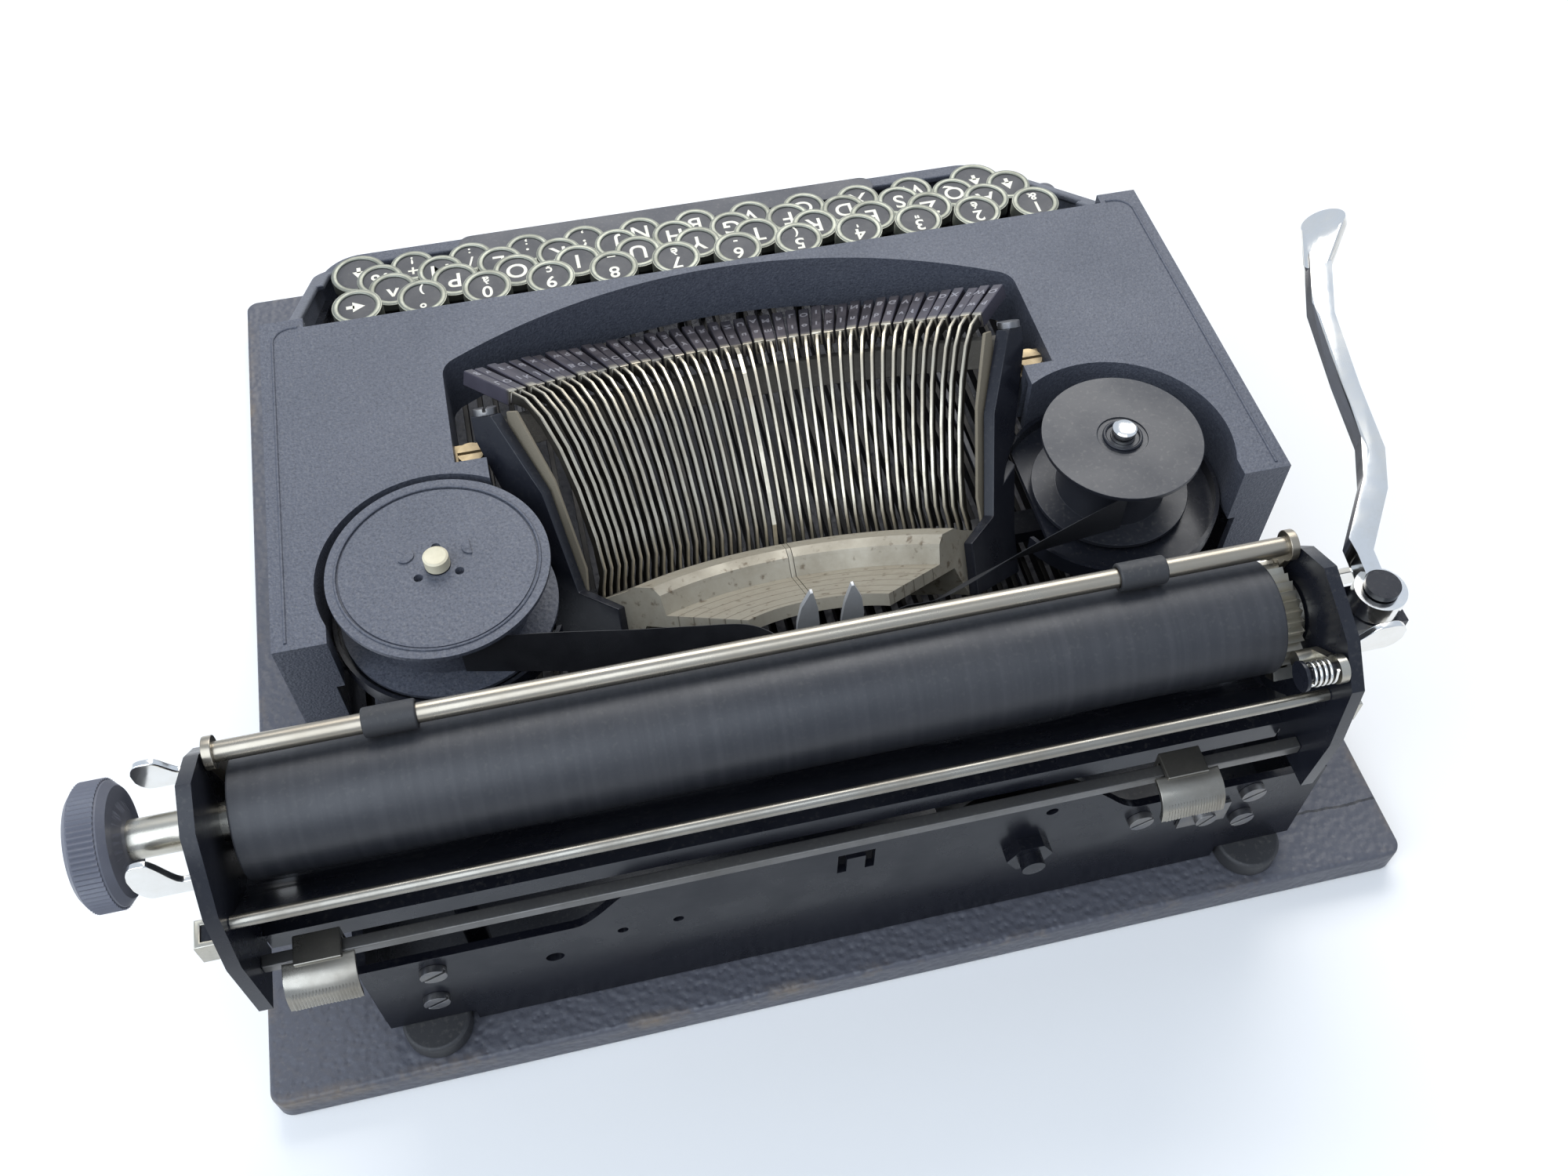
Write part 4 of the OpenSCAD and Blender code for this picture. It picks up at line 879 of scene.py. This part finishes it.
# raised type on the slugs, two characters a bar, mirrored as type is
slugLook = {"bars": 21, "step": 2.0, "start": (-93.2, 58.6), "end": (-109.3, 64.4), "thick": 4.0,
            "size": 3.0, "places": (0.34, 0.76)}
basketTurn = Matrix.Translation(basketSpot) @ Matrix.Rotation(basketTilt, 4, "X")
alongSlug = Vector((0, *slugLook["end"])) - Vector((0, *slugLook["start"]))
slugWay = alongSlug.normalized()
slugOut = Vector((-1, 0, 0)).cross(slugWay).normalized()
slugOut = slugOut if slugOut.z > 0 else -slugOut
slugSide = slugWay.cross(slugOut)
pivotSpot = Vector((0, -72.2, 0)) * mm


def barLift(bar):
    turn = 0.0 if bar == 0 else 0.4 * (1 + math.sin(bar * 2.4)) + 0.15 * (1 + math.sin(bar * 5.1))
    swing = Matrix.Rotation(-math.radians(turn), 4, "X")
    return Matrix.Translation(pivotSpot) @ swing @ Matrix.Translation(-pivotSpot)


basketBack = basketTurn.inverted()
for corner in softPieces["type_bars"].data.vertices:
    spot = basketBack @ corner.co
    bar = round(math.degrees(math.atan2(spot.x, -spot.y)) / slugLook["step"])
    fan = Matrix.Rotation(math.radians(bar * slugLook["step"]), 4, "Z")
    corner.co = basketTurn @ fan @ barLift(bar) @ fan.inverted() @ spot
letters = "qwsxdcfvgbhnjkiolpmauzertyQWSXDCFVGBHNJKIOLPMAUZERTY2345678&"
typeMarks = {"base": [], "type_bar_h": []}
for bar in range(-slugLook["bars"], slugLook["bars"] + 1):
    for order, share in enumerate(slugLook["places"]):
        glyph = character(letters[(bar + 21 + order * 26) % len(letters)], slugLook["size"], (0, 0, 0))
        raised = slugOut * (slugLook["thick"] / 2 + 0.05)
        foot = Vector((0, *slugLook["start"])) + alongSlug * share + raised
        frameOf = Matrix((slugSide, slugWay, slugOut)).transposed().to_4x4()
        fan = Matrix.Rotation(math.radians(bar * slugLook["step"]), 4, "Z")
        onBar = basketTurn @ fan @ barLift(bar) @ Matrix.Translation(foot * mm)
        glyph.matrix_world = onBar @ frameOf @ Matrix.Diagonal((1, -1, 1, 1))
        typeMarks["type_bar_h" if bar == 0 else "base"].append(settle(glyph))
typeMetal = makeFinish("typeFace", {"base": (0.44, 0.42, 0.44), "worn": (0.20, 0.19, 0.21),
                                    "rough": (0.3, 0.5), "metal": 0.7,
                                    "grain": 900.0, "bump": 0.1, "patch": 200.0, "wornShare": 0.8})
for bodyName, glyphs in typeMarks.items():
    faces = joinAll(glyphs, "type_faces_" + bodyName)
    pickOnly(faces)
    bpy.ops.object.mode_set(mode="EDIT")
    bpy.ops.mesh.select_all(action="SELECT")
    bpy.ops.mesh.normals_make_consistent(inside=False)
    bpy.ops.object.mode_set(mode="OBJECT")
    dress(faces, typeMetal, bodyName)
print("type cut on the slugs")

# heel of the swinging bar: a thin fin that fills most of the segment's middle slot
heelLook = {"thick": 1.1, "outline": ((-72.4, 4.6), (-72.4, 7.4), (-68.0, 7.3), (-60.4, 9.75),
                                      (-58.0, 10.95), (-52.0, 10.95), (-50.0, 8.95),
                                      (-49.0, 3.95), (-28.5, 3.95), (-28.5, 2.4), (-50.4, 2.4),
                                      (-53.0, 7.6), (-57.5, 8.0), (-62.0, 6.0), (-68.0, 4.4))}
turnUp = Matrix(((0, 0, 1, 0), (1, 0, 0, 0), (0, 1, 0, 0), (0, 0, 0, 1)))
heel = cutPlate(heelLook["outline"], heelLook["thick"], 0.05, "type_bar_heel", basketTurn @ turnUp)
dress(heel, segmentFinish, "type_bar_h")


# margin stop grips: bowed thumb edge with fine ribs
gripLook = {"half": 7.5, "profile": ((2.4, 2.0), (6.1, 1.4), (8.5, -0.7), (9.4, -3.8)), "ribs": 22,
            "bow": 0.9, "rail": (138, 76.5)}
for name, stopX in (("margin_stop_right", 122), ("margin_stop_left", -73)):
    pickOnly()
    bpy.ops.mesh.primitive_grid_add(x_subdivisions=gripLook["ribs"] * 4, y_subdivisions=14, size=1.0)
    grip = bpy.context.object
    for corner in grip.data.vertices:
        across, down = corner.co.x * 2, corner.co.y + 0.5
        y, z = (smoothAlong([spot[axis] for spot in gripLook["profile"]], down) for axis in (0, 1))
        ribbed = down > 0.62 and abs(across) < 0.92
        wave = math.sin((across + 1) / 2 * gripLook["ribs"] * 2 * math.pi)
        rib = 0.22 * max(0.0, wave) if ribbed else 0.0
        corner.co = Vector((stopX + across * gripLook["half"],
                            gripLook["rail"][0] + y + rib - 0.3 * gripLook["bow"] * across ** 2,
                            gripLook["rail"][1] + z - gripLook["bow"] * across ** 2 * down)) * mm
    addModifier(grip, "SOLIDIFY", thickness=1.5 * mm, offset=0.0)
    addModifier(grip, "BEVEL", width=0.3 * mm, segments=2, limit_method="ANGLE", angle_limit=math.radians(60))
    softShade(grip, 40)
    dress(settle(grip, name + "_grip"), stopFinish, name)

# nickel clips where the paper table's lip meets the end plates
for name, x0, way in (("lip_clip_right", 135.4, 1), ("lip_clip_left", -103.4, -1)):
    outline = [(0, 135.4), (way * 6.3, 135.4), (way * 6.3, 141.6), (0, 141.6), (0, 140.3),
               (way * 5.0, 140.3), (way * 5.0, 136.7), (0, 136.7)]
    clip = cutPlate([(x0 + x, y) for x, y in outline], 7.0, 0.3, name, Matrix.Translation((0, 0, 0.094)))
    dress(clip, finishes["agedNickel"], "carriage")

# pressed bead a little inside the cover's edge
beadLook = {"inset": 3.2, "half": 125.5, "front": -37.5, "back": 71.6, "top": 94.5, "radius": 0.4,
            "turn": 5.0, "ear": 115.5}
halfWide = beadLook["half"] - beadLook["inset"]
frontEdge, backEdge = beadLook["front"] + beadLook["inset"], beadLook["back"] - 2.0
bends = [math.radians(angle) for angle in range(0, 91, 10)]
beadLine = [(halfWide, backEdge)]
beadLine += [(halfWide - beadLook["turn"] * (1 - math.cos(bend)),
              frontEdge + beadLook["turn"] * (1 - math.sin(bend))) for bend in bends]
beadLine.append((beadLook["ear"], frontEdge))
for name, way in (("cover_bead_right", 1), ("cover_bead_left", -1)):
    bead = tubeAlong([Vector((way * x, y, beadLook["top"])) * mm for x, y in beadLine],
                     beadLook["radius"] * mm, name)
    dress(bead, finishes["crinklePaint"], "base")
print("grips, clips and bead made")
